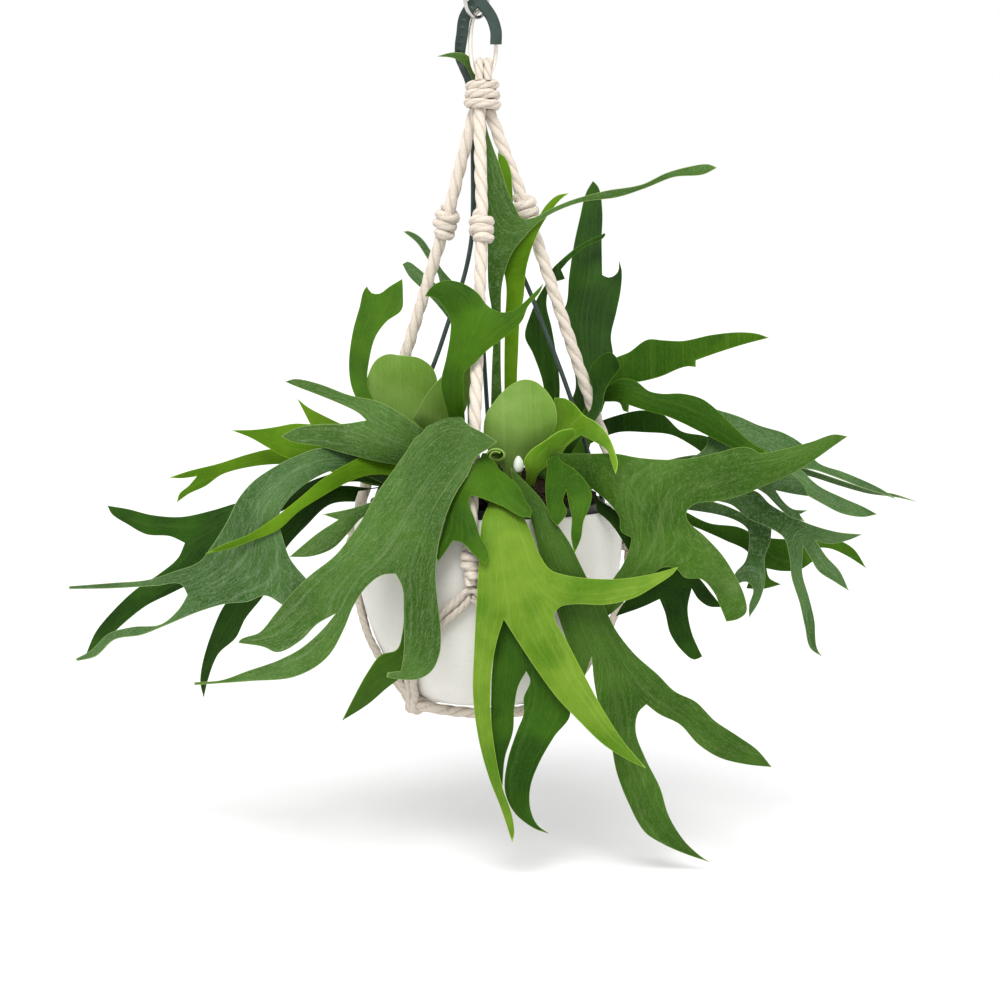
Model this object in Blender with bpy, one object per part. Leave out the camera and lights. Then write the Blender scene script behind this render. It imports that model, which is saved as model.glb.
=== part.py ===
"""Staghorn fern in a white bowl inside a rope hanger, one closed body per real piece. Metres, +Z up.

The origin is the inside top of the steel ring the whole thing hangs by. The bowl axis is vertical.
Layout lengths below are millimetres. A frond is laid out as it is seen by a viewer standing in
front (u to the right, v up, y away from the viewer) and every point is carried along the viewer's
sight line to its own depth y, so the fronds overlap each other the way they do on the plant.
"""
import math

import bpy
import numpy as np
from mathutils import Vector
from mathutils.geometry import delaunay_2d_cdt

for old in list(bpy.data.objects):
    bpy.data.objects.remove(old, do_unlink=True)

# ---------------------------------------------------------------- driving dimensions (mm, degrees)
MM = 0.001
VIEW_DIST = 2000.0          # viewer to the middle of the plant
VIEW_DOWN = 5.75            # the viewer looks down by this angle
VIEW_U, VIEW_V = 11.25, -384.75
HANG_X, HANG_Z = -6.4, -4.1      # inside top of the steel ring in layout lengths

AXIS_X = 2.0                # bowl axis
BOWL_R = 100.5              # largest outside radius
BOWL_RIM_R = 97.0
BOWL_RIM_Z = -390.0
BOWL_BASE_Z = -533.0
BOWL_WALL = 4.0
INNER_R = 88.0              # nursery pot, outside of its rim
INNER_RIM_Z = -384.0
INNER_BASE_Z = -515.0
INNER_WALL = 1.5
SOIL_Z = -376.0             # flat top of the soil
CROWN_X, CROWN_Y = 12.0, 4.0
CROWN_R = 62.0
CROWN_H = 15.0              # how far the crown mound stands out of the soil
ROPE_R = 4.75
STRAND_R = 2.8
FROND_T = 1.3
SHIELD_T = 1.2
GAP = 0.3                   # left between pieces that touch in life

# ---------------------------------------------------------------- placing points
DOWN = math.radians(VIEW_DOWN)
FWD = np.array([0.0, math.cos(DOWN), -math.sin(DOWN)])
UPV = np.array([0.0, math.sin(DOWN), math.cos(DOWN)])
EYE = np.array([VIEW_U, 0.0, VIEW_V]) - FWD * VIEW_DIST
HANG = np.array([HANG_X, 0.0, HANG_Z])


def seen(u, v, y):
    """The point at depth y that a viewer sees at (u, v), in mm before the shift to the origin."""
    ray = FWD + np.array([1.0, 0.0, 0.0]) * (u - VIEW_U) / VIEW_DIST + UPV * (v - VIEW_V) / VIEW_DIST
    return EYE + ray * (y - EYE[1]) / ray[1]


def world(p):
    """Layout mm to metres from the hang point."""
    return tuple(float(c) * MM for c in (np.asarray(p, dtype=float) - HANG))


def mound(r):
    """Height of the crown mound above the soil at a share r of its radius."""
    return 2.0 + (CROWN_H - 2.0) * (1.0 - r * r)


def ground(x, y):
    """The height a stalk must stay above: crown mound, soil, nursery pot rim, bowl rim."""
    reach = math.hypot(x - AXIS_X, y)
    r = math.hypot(x - CROWN_X, y - CROWN_Y) / CROWN_R
    if r < 1.0:
        return SOIL_Z + mound(r)
    level = float(np.interp(reach, [74, 82, 83, 89.5, 90.5, 98.5],
                            [SOIL_Z, SOIL_Z - 3, SOIL_Z - 6, SOIL_Z - 6.5, SOIL_Z - 12, SOIL_Z - 12]))
    return max(level, SOIL_Z + 2.0 * (1.3 - r) / 0.3)


# ---------------------------------------------------------------- mesh helpers
MATERIALS = {}


def material(name, color, rough, metal=0.0):
    if name not in MATERIALS:
        mat = bpy.data.materials.new(name)
        mat.use_nodes = True
        bsdf = mat.node_tree.nodes["Principled BSDF"]
        bsdf.inputs["Base Color"].default_value = (*color, 1.0)
        bsdf.inputs["Roughness"].default_value = rough
        bsdf.inputs["Metallic"].default_value = metal
        mat.diffuse_color = (*color, 1.0)
        MATERIALS[name] = mat
    return MATERIALS[name]


def body(name, verts, faces, mat):
    """One closed mesh object from layout points in mm."""
    mesh = bpy.data.meshes.new(name)
    mesh.from_pydata([world(p) for p in verts], [], faces)
    mesh.validate()
    mesh.update()
    obj = bpy.data.objects.new(name, mesh)
    bpy.context.scene.collection.objects.link(obj)
    own = mat.copy()
    own.name = name + "_mat"
    mesh.materials.append(own)
    return obj


def lathe(name, profile, sides, mat, cx=AXIS_X, cy=0.0):
    """Closed body turned from (radius, z) points; a radius of 0 at both ends closes it."""
    verts = []
    rings = []
    for r, z in profile:
        if r == 0.0:
            rings.append([len(verts)])
            verts.append((cx, cy, z))
        else:
            rings.append(list(range(len(verts), len(verts) + sides)))
            for i in range(sides):
                a = 2.0 * math.pi * i / sides
                verts.append((cx + r * math.cos(a), cy + r * math.sin(a), z))
    faces = []
    for lo, hi in zip(rings, rings[1:]):
        for i in range(sides):
            j = (i + 1) % sides
            if len(lo) == 1:
                faces.append((lo[0], hi[j], hi[i]))
            elif len(hi) == 1:
                faces.append((lo[i], lo[j], hi[0]))
            else:
                faces.append((lo[i], lo[j], hi[j], hi[i]))
    return body(name, verts, faces, mat)


def smooth_path(points, step):
    """Catmull-Rom curve through the points, cut into pieces of about the given length."""
    pts = [np.asarray(p, dtype=float) for p in points]
    ext = [2 * pts[0] - pts[1]] + pts + [2 * pts[-1] - pts[-2]]
    out = []
    for a, b, c, d in zip(ext, ext[1:], ext[2:], ext[3:]):
        n = max(1, int(round(np.linalg.norm(c - b) / step)))
        for k in range(n):
            t = k / n
            out.append(0.5 * (2 * b + (c - a) * t + (2 * a - 5 * b + 4 * c - d) * t * t
                              + (3 * b - a - 3 * c + d) * t ** 3))
    out.append(pts[-1])
    return out


def tube(name, path, radius, sides, mat, closed=False, section=None):
    """Round body swept along a path; radius may be a function of the distance run.

    section is an optional list of (across, out) factors in place of the unit circle.
    """
    pts = [np.asarray(p, dtype=float) for p in path]
    n = len(pts)
    run = [0.0]
    for a, b in zip(pts, pts[1:]):
        run.append(run[-1] + float(np.linalg.norm(b - a)))
    unit = section or [(math.cos(2 * math.pi * i / sides), math.sin(2 * math.pi * i / sides))
                       for i in range(sides)]
    sides = len(unit)
    verts = []
    side = None
    for i, p in enumerate(pts):
        if closed:
            tan = pts[(i + 1) % n] - pts[i - 1]
        else:
            tan = pts[min(i + 1, n - 1)] - pts[max(i - 1, 0)]
        tan = tan / np.linalg.norm(tan)
        if side is None:
            start = np.array([1.0, 0.0, 0.0]) if abs(tan[0]) < 0.9 else np.array([0.0, 1.0, 0.0])
            side = start
        side = side - tan * float(side @ tan)
        side = side / np.linalg.norm(side)
        out = np.cross(tan, side)
        r = radius(run[i]) if callable(radius) else radius
        for s, o in unit:
            verts.append(p + side * r * s + out * r * o)
    faces = []
    last = n if closed else n - 1
    for i in range(last):
        k = (i + 1) % n
        for j in range(sides):
            m = (j + 1) % sides
            faces.append((i * sides + j, i * sides + m, k * sides + m, k * sides + j))
    if not closed:
        faces.append(tuple(reversed(range(sides))))
        faces.append(tuple(range((n - 1) * sides, n * sides)))
    return body(name, verts, faces, mat)


# ---------------------------------------------------------------- frond sheets
def depth_surface(marks):
    """Thin-plate surface y(u, v) through the (u, v, y) marks."""
    m = np.array(marks, dtype=float)
    n = len(m)
    k = np.zeros((n + 3, n + 3))
    d = np.hypot(m[:, None, 0] - m[None, :, 0], m[:, None, 1] - m[None, :, 1])
    k[:n, :n] = np.where(d > 0, d * d * np.log(np.maximum(d, 1e-9)), 0.0)
    k[:n, n] = 1.0
    k[:n, n + 1:] = m[:, :2]
    k[n, :n] = 1.0
    k[n + 1:, :n] = m[:, :2].T
    k[:n, :n] += np.eye(n) * 8.0
    w = np.linalg.solve(k, np.concatenate([m[:, 2], np.zeros(3)]))

    def y_at(u, v):
        r = np.hypot(m[:, 0] - u, m[:, 1] - v)
        g = np.where(r > 0, r * r * np.log(np.maximum(r, 1e-9)), 0.0)
        return float(g @ w[:n] + w[n] + w[n + 1] * u + w[n + 2] * v)
    return y_at


def inside(poly, u, v):
    hit = False
    for (u0, v0), (u1, v1) in zip(poly, poly[1:] + poly[:1]):
        if (v0 > v) != (v1 > v) and u < (u1 - u0) * (v - v0) / (v1 - v0) + u0:
            hit = not hit
    return hit


def edge_distance(poly, u, v):
    best = 1e9
    for (u0, v0), (u1, v1) in zip(poly, poly[1:] + poly[:1]):
        du, dv = u1 - u0, v1 - v0
        t = max(0.0, min(1.0, ((u - u0) * du + (v - v0) * dv) / (du * du + dv * dv)))
        best = min(best, math.hypot(u - u0 - t * du, v - v0 - t * dv))
    return best


def fill(poly, step):
    """Triangles over an outline with points about one step apart inside it."""
    rim = []
    for (u0, v0), (u1, v1) in zip(poly, poly[1:] + poly[:1]):
        n = max(1, int(math.hypot(u1 - u0, v1 - v0) / (1.5 * step)) + 1)
        rim += [(u0 + (u1 - u0) * k / n, v0 + (v1 - v0) * k / n) for k in range(n)]
    pts = list(rim)
    us = [p[0] for p in poly]
    vs = [p[1] for p in poly]
    row = 0
    v = min(vs) + 0.5 * step
    while v < max(vs):
        u = min(us) + (0.5 * step if row % 2 else 0.0)
        while u < max(us):
            if inside(poly, u, v) and edge_distance(poly, u, v) > 0.5 * step:
                pts.append((u, v))
            u += step
        v += 0.866 * step
        row += 1
    loop = list(range(len(rim)))
    got = delaunay_2d_cdt([Vector(p) for p in pts], [], [loop], 1, 1e-4)
    return [(p[0], p[1]) for p in got[0]], [tuple(f) for f in got[2]]


def frond(name, outline, marks, mat, thick=FROND_T, step=20.0, fold=None):
    """A leathery frond: an outline, its depth marks, and a fold line where it turns back over."""
    flat, tris = fill(outline, step)
    y_at = depth_surface(marks)
    mid = []
    for u, v in flat:
        back = 0.0
        y = y_at(u, v)
        if fold:
            line, r, lean = fold
            ridge = float(np.interp(u, [p[0] for p in line], [p[1] for p in line]))
            d = v - ridge
            if d > 0:
                y = y_at(u, ridge)
                turn = min(d / r, math.pi)
                back = max(0.0, d - math.pi * r)
                v = ridge + r * math.sin(turn) - back
                y = y + r * (1 - math.cos(turn)) + lean * back
        p = seen(u, v, y)
        if math.hypot(p[0] - AXIS_X, p[1]) < 98.5 and p[2] > SOIL_Z - 40.0:
            p[2] = max(p[2], ground(p[0], p[1]) + GAP + 0.6 * thick)
        mid.append(p)
    mid = np.array(mid)
    normal = np.zeros_like(mid)
    for a, b, c in tris:
        n = np.cross(mid[b] - mid[a], mid[c] - mid[a])
        for i in (a, b, c):
            normal[i] += n
    normal /= np.linalg.norm(normal, axis=1)[:, None]
    count = len(mid)
    verts = list(mid + normal * thick / 2) + list(mid - normal * thick / 2)
    faces = [(a, b, c) for a, b, c in tris] + [(c + count, b + count, a + count) for a, b, c in tris]
    used = {}
    for a, b, c in tris:
        for e in ((a, b), (b, c), (c, a)):
            used[e] = used.get(e, 0) + 1
    for a, b in used:
        if (b, a) not in used:
            faces.append((b, a, a + count))
            faces.append((b, a + count, b + count))
    return body(name, verts, faces, mat)


# ---------------------------------------------------------------- colours
STEEL = material("steel", (0.62, 0.61, 0.58), 0.25, 1.0)
LINK = material("link", (0.72, 0.69, 0.62), 0.4, 0.6)
PLASTIC = material("plastic", (0.02, 0.05, 0.035), 0.45)
WHITE = material("white", (0.8, 0.79, 0.76), 0.5)
BLACK = material("black", (0.02, 0.02, 0.02), 0.6)
EARTH = material("earth", (0.03, 0.02, 0.012), 0.95)
COTTON = material("cotton", (0.78, 0.7, 0.6), 0.9)
LIME = material("lime", (0.28, 0.42, 0.07), 0.5)
GREEN = material("green", (0.09, 0.2, 0.035), 0.5)
DARK = material("dark", (0.03, 0.08, 0.012), 0.5)
GREY = material("grey", (0.14, 0.22, 0.1), 0.6)
PALE = material("pale", (0.3, 0.42, 0.14), 0.5)

# ---------------------------------------------------------------- steel ring, rope link, hook
RING_R, RING_WIRE, RING_TURN = 12.6, 1.5, math.radians(50)
ring_mid = seen(-6.4, -10.0, 0.0)
ring_path = []
for i in range(36):
    a = 2 * math.pi * i / 36
    ring_path.append(ring_mid + RING_R * np.array(
        [math.cos(a) * math.cos(RING_TURN), math.cos(a) * math.sin(RING_TURN), math.sin(a)]))
tube("hang_ring", ring_path, RING_WIRE, 10, STEEL, closed=True)

LINK_MID, LINK_H, LINK_W = np.array([-1.1, 4.6, -45.7]), 24.1, 9.5
link_path = []
for i in range(36):
    a = 2 * math.pi * i / 36
    c, d = math.cos(a), math.sin(a)
    link_path.append(LINK_MID + np.array(
        [LINK_W * math.copysign(abs(c) ** 0.75, c), 1.2 * c, LINK_H * math.copysign(abs(d) ** 0.9, d)]))
tube("rope_link", link_path, 1.6, 10, LINK, closed=True)

hook_path = smooth_path([
    seen(8.2, -43.0, 0), seen(8.0, -32.0, 0), seen(3.6, -20.5, 0), seen(-5.8, -11.1, 0),
    seen(-14.8, -22.0, 1),
    seen(-17.2, -36.0, 3), seen(-18.6, -47.0, 9), seen(-18.4, -54.0, 16), seen(-16.0, -61.0, 25),
    seen(-12.5, -69.0, 30.5), seen(-9.0, -82.0, 31), seen(-8.0, -100.0, 28), seen(-7.5, -108.0, 26)], 4.0)
hook_shape = [(1.0, 0.5), (0.8, 0.62), (-0.8, 0.62), (-1.0, 0.5), (-1.0, -0.5), (-0.8, -0.62),
              (0.8, -0.62), (1.0, -0.5)]
tube("hanger_hook", hook_path, lambda s: 4.2 if s < 70 else 4.2 - min(1.0, (s - 70) / 25) * 1.2, 8,
     PLASTIC, section=hook_shape)
STRUTS = {
    "hanger_strut_left": [(-9.2, -108.8, 25.6), (-9.0, -165, 26), (-10.5, -192, 26), (-16.5, -220, 25),
                          (-27, -250, 24), (-40, -287, 22), (-62, -335, 19), (-81.0, -381.8, 16)],
    "hanger_strut_right": [(-5.6, -108.8, 25.6), (0, -160, 26), (12, -190, 24), (27, -214, 21),
                           (45, -257, 15), (62, -302, 10), (76, -345, 6), (88, -383.4, 3)],
    "hanger_strut_back": [(-7.4, -109.4, 29.4), (-6.5, -165, 33), (-4, -220, 46), (0, -290, 64),
                          (4, -352, 83), (5, -375.0, 86.7)],
}
for name, marks in STRUTS.items():
    tube(name, smooth_path([seen(*m) for m in marks], 14.0), 1.6, 8, PLASTIC)

# ---------------------------------------------------------------- bowl, nursery pot, soil, crown
lathe("bowl", [(0, BOWL_BASE_Z), (44, BOWL_BASE_Z), (52, -531.5), (62, -525), (74, -509), (85, -487),
               (93.5, -461), (98.5, -438), (BOWL_R, -418), (99.5, -402), (BOWL_RIM_R, BOWL_RIM_Z),
               (BOWL_RIM_R - 3, BOWL_RIM_Z + 0.6), (BOWL_RIM_R - BOWL_WALL - 0.5, BOWL_RIM_Z - 1.5),
               (95.5, -404), (96.5, -418), (94.5, -438), (89.5, -461), (81.2, -486), (70.5, -507),
               (59, -521.5), (50, -527.5), (42, -529), (0, -529)], 48, WHITE)
lathe("nursery_pot", [(0, INNER_BASE_Z), (54, INNER_BASE_Z), (84.5, -396), (INNER_R, -395.5),
                      (INNER_R, INNER_RIM_Z), (INNER_R - 2.5, INNER_RIM_Z), (83, -394),
                      (52.5, INNER_BASE_Z + INNER_WALL), (0, INNER_BASE_Z + INNER_WALL)], 36, BLACK)
lathe("soil", [(0, -513.2), (51.6, -513.2), (81.6, -396), (82.2, -390), (81, -379), (74, SOIL_Z),
               (0, SOIL_Z)], 36, EARTH)
crown = [(0, SOIL_Z + GAP), (CROWN_R, SOIL_Z + GAP)]
for i in range(6):
    crown.append((CROWN_R * (1 - i / 6), SOIL_Z + mound(1 - i / 6)))
lathe("crown", crown + [(0, SOIL_Z + CROWN_H)], 28, EARTH, CROWN_X, CROWN_Y)

# ---------------------------------------------------------------- ropes
KNOT_MID = seen(-2.0, -80.3, 5.6)
fold = [(1, -0.25), (1, 0.25), (0.7, 0.62), (0.25, 0.62), (0, 0.45), (-0.25, 0.62), (-0.7, 0.62), (-1, 0.25),
        (-1, -0.25), (-0.7, -0.62), (-0.25, -0.62), (0, -0.45), (0.25, -0.62), (0.7, -0.62)]
fold_path = []
wire = LINK_MID + np.array([0.3, 0.0, -LINK_H])
for y, z in [(-8.2, -0.6), (-8.2, 0.4), (-7.6, 3.0), (-5.4, 6.0), (-2.2, 7.8), (2.2, 7.8), (5.4, 6.0),
             (7.6, 3.0), (8.2, 0.4), (8.2, -0.6)]:
    fold_path.append(wire + np.array([0.0, y, z]))
tube("rope_fold", fold_path, 5.4, 14, COTTON, section=fold)
lathe("top_knot", [(0, KNOT_MID[2] - 12.0), (8, KNOT_MID[2] - 12.0), (13.6, KNOT_MID[2] - 10.5),
                   (14.3, KNOT_MID[2] - 7.5), (13.4, KNOT_MID[2] - 4), (14.0, KNOT_MID[2] - 0.5),
                   (12.8, KNOT_MID[2] + 3.5), (13.0, KNOT_MID[2] + 7), (11, KNOT_MID[2] + 10.4),
                   (7, KNOT_MID[2] + 11.2), (0, KNOT_MID[2] + 11.2)], 20, COTTON, KNOT_MID[0], KNOT_MID[1])

CORDS = {"front": -6.0, "left": -113.0, "right": 100.0}
CORD_TOP = {"front": (-4.2, -94.6, 0.6), "left": (-8.2, -94.6, 9.5), "right": (3.8, -94.6, 9.5)}
CORD_KNOT = {"front": (-2.5, -180.5, -31), "left": (-29.5, -176.5, 13.5), "right": (31.0, -167.5, 11.2)}


def around(azimuth, r, z):
    """Point r from the bowl axis; azimuth 0 is the viewer's side, 90 the viewer's right."""
    a = math.radians(azimuth)
    return np.array([AXIS_X + r * math.sin(a), -r * math.cos(a), z])


def bulge(at, half, extra):
    """Radius along a cord that swells by `extra` over a knot `half` long either side of `at`."""
    def radius(s):
        r = ROPE_R
        for a, h, e in zip(at, half, extra):
            x = abs(s - a) / h
            if x < 1:
                r += e * math.sqrt(1 - x ** 4)
        return r
    return radius


for key, az in CORDS.items():
    top, knot = seen(*CORD_TOP[key]), seen(*CORD_KNOT[key])
    lip = around(az, BOWL_RIM_R + 7.2, BOWL_RIM_Z + 4)
    path = smooth_path([top, top + (knot - top) * 0.5, knot, knot + (lip - knot) * 0.5, lip,
                        around(az, BOWL_R + 5.8, -404), around(az, BOWL_R + 9.6, -420),
                        around(az, BOWL_R + 8.8, -434.5)], 8.0)
    total = sum(float(np.linalg.norm(b - a)) for a, b in zip(path, path[1:]))
    first = float(np.linalg.norm(knot - top))
    tube("cord_" + key, path, bulge([first, total - 16], [14.5, 13], [4.9, 3.9]), 8, COTTON)

BASE_AZ = {"front_left": -60.0, "front_right": 47.0, "back": 173.0}
ring_pts = []
for i in range(48):
    az = 360.0 * i / 48
    near = min(abs((az - b + 180) % 360 - 180) for b in BASE_AZ.values())
    lift = math.cos(math.radians(min(near * 4.0, 90)))
    ring_pts.append(around(az, 45.0 + 18.0 * lift, -538.4 + 4.2 * lift))
widths = []
for i in range(48):
    near = min(abs((360.0 * i / 48 - b + 180) % 360 - 180) for b in BASE_AZ.values())
    widths.append(4.2 + 3.6 * math.cos(math.radians(min(near * 7.5, 90))))
run = [0.0]
for a, b in zip(ring_pts, ring_pts[1:]):
    run.append(run[-1] + float(np.linalg.norm(b - a)))
tube("base_rope", ring_pts, lambda s: float(np.interp(s, run, widths)), 10, COTTON, closed=True)

pair = [(1, 0), (0.86, 0.36), (0.5, 0.5), (0.14, 0.36), (0, 0.28), (-0.14, 0.36), (-0.5, 0.5), (-0.86, 0.36),
        (-1, 0), (-0.86, -0.36), (-0.5, -0.5), (-0.14, -0.36), (0, -0.28), (0.14, -0.36), (0.5, -0.5),
        (0.86, -0.36)]
NET = {"front": ("front_left", "front_right"), "left": ("front_left", "back"),
       "right": ("front_right", "back")}
WALL = [(-440, 98), (-461, 93.5), (-487, 85), (-509, 74), (-525, 62), (-531.5, 52)]


def wall_r(z):
    return float(np.interp(-z, [-p[0] for p in WALL], [p[1] for p in WALL]))


def leg(az0, az1):
    """Points down the bowl from under a side knot to a base knot."""
    turn = (az1 - az0 + 180) % 360 - 180
    lead = 5.0 if turn > 0 else -5.0
    path = []
    for i in range(9):
        t = i / 8
        z = -449.5 - t * (524.0 - 449.5)
        az = az0 + lead + (turn - 2.2 * lead) * (t ** 0.92)
        path.append(around(az, wall_r(z) + 3.7 + 3.0 * (1 - t) ** 2 + 2.0 * t ** 3, z))
    return path


def sling(name, az0, ends):
    """Paired strands from one base knot up under a side knot and down to the next base knot."""
    a, b = leg(az0, ends[0]), leg(az0, ends[1])
    over = [around(az0, wall_r(-440) + 8.6, -441.0)]
    pts = smooth_path(a[::-1] + over + b, 9.0)
    verts = []
    for i, p in enumerate(pts):
        tan = pts[min(i + 1, len(pts) - 1)] - pts[max(i - 1, 0)]
        tan = tan / np.linalg.norm(tan)
        out = np.array([p[0] - AXIS_X, p[1], 0.0])
        out[2] = -0.35 * np.linalg.norm(out)
        out = out - tan * float(out @ tan)
        out = out / np.linalg.norm(out)
        side = np.cross(out, tan)
        for s, o in pair:
            verts.append(p + side * 5.6 * s + out * 5.6 * o)
    n = len(pair)
    faces = []
    for i in range(len(pts) - 1):
        for j in range(n):
            m = (j + 1) % n
            faces.append((i * n + j, i * n + m, (i + 1) * n + m, (i + 1) * n + j))
    faces.append(tuple(reversed(range(n))))
    faces.append(tuple(range((len(pts) - 1) * n, len(pts) * n)))
    body(name, verts, faces, COTTON)


for key, ends in NET.items():
    sling("strands_" + key, CORDS[key], [BASE_AZ[e] for e in ends])


# ---------------------------------------------------------------- fronds: outline (u, v), depth marks (u, v, y)
frond("frond_front_left", [
    (-52, -338), (-46, -333), (-40, -305), (-36, -268), (-24, -268), (-22, -305), (-14, -327), (-2, -334),
    (9, -341), (3, -346), (-6, -352), (-13, -366), (-23, -382), (-30, -399), (-34, -414), (-37, -440),
    (-35, -465), (-33, -485), (-34, -500), (-40, -513), (-50, -519), (-66, -519), (-74, -517.5), (-73, -514),
    (-63, -513), (-61, -500), (-61, -470), (-62, -450), (-67, -440), (-77, -441), (-88, -449), (-98, -463),
    (-106, -482), (-116, -500), (-127, -510), (-145, -518), (-175, -520.5), (-218, -523.5), (-218, -521.5),
    (-198, -520), (-178, -513), (-155, -505), (-138, -496), (-122, -482), (-112, -470), (-126, -478),
    (-138, -490), (-156, -499), (-166, -495), (-185, -492), (-184, -490), (-169, -484), (-158, -471),
    (-146, -456), (-132, -442), (-112, -426), (-100, -411), (-90, -396), (-82, -381), (-72, -367),
    (-60, -350)],
    [(-52, -338, -80), (-14, -327, -96), (9, -341, -100), (-45, -365, -102), (-12, -360, -108),
     (-34, -408, -123),
     (-60, -390, -112), (-50, -420, -119),
     (-48, -515, -112), (-90, -420, -110), (-110, -450, -108), (-185, -491, -78), (-218, -522, -112),
     (-125, -500, -102)], GREEN,
    fold=([(-60, -345), (-50, -338), (-30, -329), (-14, -328), (0, -334), (9, -343)], 5.0, 1.15))
frond("frond_front_lime", [
    (6.5, -369), (11, -369), (17, -380), (28, -396), (34, -408), (40, -424), (49, -437), (60, -441),
    (78, -443.5),
    (100, -444), (122, -441), (145, -435), (141, -440), (128, -449), (112, -458), (92, -463), (65, -463),
    (56, -465), (52, -471), (60, -488), (74, -515), (88, -541), (104, -566), (121, -586), (110, -581),
    (90, -569), (70, -550), (54, -533), (40, -514), (26, -493), (14, -474), (9, -490), (5, -512), (4, -540),
    (7, -570), (13, -600), (20, -620), (22, -634), (20.5, -642), (18, -634), (12, -616), (3, -593),
    (-5, -563),
    (-9, -530), (-8, -495), (-6, -455), (-4, -425), (-2, -400), (5, -382)],
    [(9, -369, -47), (10, -380, -93), (14, -396, -112), (16, -425, -121), (-3, -410, -118.5),
     (-4, -430, -121), (42, -432, -117),
     (12, -465, -122), (-2, -520, -119),
     (5, -580, -114), (21, -641, -104), (60, -500, -116), (120, -585, -124), (80, -453, -112),
     (145, -436, -98)],
    LIME)
frond("frond_pot_front", [
    (-7, -356), (-3.5, -353), (-3, -324), (1.5, -324), (3, -353), (8, -357), (10, -361), (16, -366),
    (26, -376), (30, -385), (35, -393), (34, -398), (27, -397), (14, -390),
    (2, -385), (-10, -381), (-12, -386), (-8, -398), (-4, -411), (3, -427), (0, -433), (-8, -426),
    (-17, -417),
    (-24, -415), (-30, -424), (-35, -431), (-37, -424), (-33, -412), (-29, -398), (-23, -383), (-17, -374),
    (-11, -364)],
    [(-7, -358, -101.5), (6, -357, -92), (6, -370, -103), (-8, -378, -112), (-20, -385, -111),
     (8, -388, -114), (-8, -400, -120), (34, -396, -115), (0, -430, -129),
     (-34, -428, -119)], GREEN, fold=([(-8, -353.5), (2, -353.5), (12, -356)], 3.5, 1.3))
frond("frond_front_right", [
    (36, -374), (40, -358), (50, -350), (62, -350), (78, -350), (98, -350), (115, -353), (135, -354.5),
    (155, -353.5), (175, -349),
    (192, -345), (200, -346), (206, -349.5), (222, -347), (245, -341), (262, -335.5), (272, -337),
    (262, -344),
    (248, -354), (232, -364), (212, -373), (190, -382), (172, -386), (158, -387.5), (151, -394), (152, -400),
    (164, -411), (178, -426), (188, -442), (195, -458), (196, -469), (190, -474), (181, -476), (177, -466),
    (171, -453), (162, -444), (150, -443), (143, -436), (133, -435.5), (126, -440), (113, -452), (97, -468),
    (79, -480), (83, -466), (90, -454), (96, -444), (103, -434), (109, -419), (110, -413), (102, -408),
    (101, -398), (92, -386), (80, -376), (68, -366), (54, -360), (45, -374)],
    [(40, -373, -22), (46, -356, -30), (70, -358, -52), (95, -375, -80), (105, -430, -86), (82, -476, -84),
     (150, -370, -88),
     (188, -470, -92), (205, -362, -98), (270, -337, -110), (155, -440, -92)], GREEN)
frond("frond_low_right", [
    (19, -360), (30, -371), (42, -384), (52, -400), (63, -416), (71, -432), (78, -446), (88, -462),
    (98, -482),
    (112, -500), (130, -516), (142, -528), (158, -536), (172, -550), (190, -562), (204, -572), (215, -585),
    (196, -583), (176, -578), (160, -568), (146, -553), (130, -545), (121, -538), (115, -544), (113, -558),
    (121, -580), (131, -600), (138, -622), (150, -641), (162, -652), (169, -656.5), (150, -650), (134, -643),
    (120, -634), (108, -613), (99, -590), (94, -566), (86, -542), (82, -522), (80, -502), (75, -517),
    (66, -502), (57, -478), (50, -455), (42, -430), (36, -405), (30, -387), (22, -374)],
    [(20, -364, -55), (30, -376, -82), (44, -396, -104), (60, -430, -104), (75, -470, -96), (76, -515, -92),
     (110, -520, -88), (130, -545, -84), (214, -584, -50), (120, -600, -84), (168, -656, -66)], GREY)
frond("frond_low_dark", [
    (-8, -376), (2, -374), (12, -384), (22, -404), (28, -425), (37, -455), (44, -495), (52, -520),
    (64, -545), (52, -562), (41, -581),
    (34, -600), (34, -616), (39, -628), (48, -635), (37, -631), (22, -619), (15, -603), (17, -580),
    (24, -558),
    (29, -545), (29, -533), (34, -520), (31, -513), (25, -524), (22, -540), (21, -558), (15, -578),
    (13, -600),
    (8, -588), (5, -560), (5, -520), (8, -485), (9, -440), (7, -410), (0, -392)],
    [(-3, -376, -48), (5, -382, -82), (8, -388, -92), (8, -396, -101), (14, -402, -103.5),
     (8, -415, -105.5), (22, -430, -107.5), (24, -455, -110.5), (26, -500, -111), (14, -590, -106),
     (48, -634, -100), (50, -520, -106), (50, -550, -104)],
    DARK)
frond("frond_olive_right", [
    (48, -374), (66, -376), (84, -384), (100, -394), (113, -404), (128, -420), (142, -434), (158, -441),
    (170, -455), (178, -465), (168, -464.5),
    (160, -459), (155, -451), (152, -466), (155, -484), (160, -496), (163, -502), (157, -504.5), (148, -498),
    (139, -485), (135, -469), (131, -459), (118, -465), (98, -472), (104, -462), (118, -448), (106, -420),
    (92, -400), (78, -390), (62, -383), (46, -381)],
    [(49, -378, -28), (66, -380, -42), (84, -390, -60), (104, -406, -64), (125, -435, -62),
     (100, -471, -56), (160, -500, -60), (175, -464, -64)], DARK)
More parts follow.
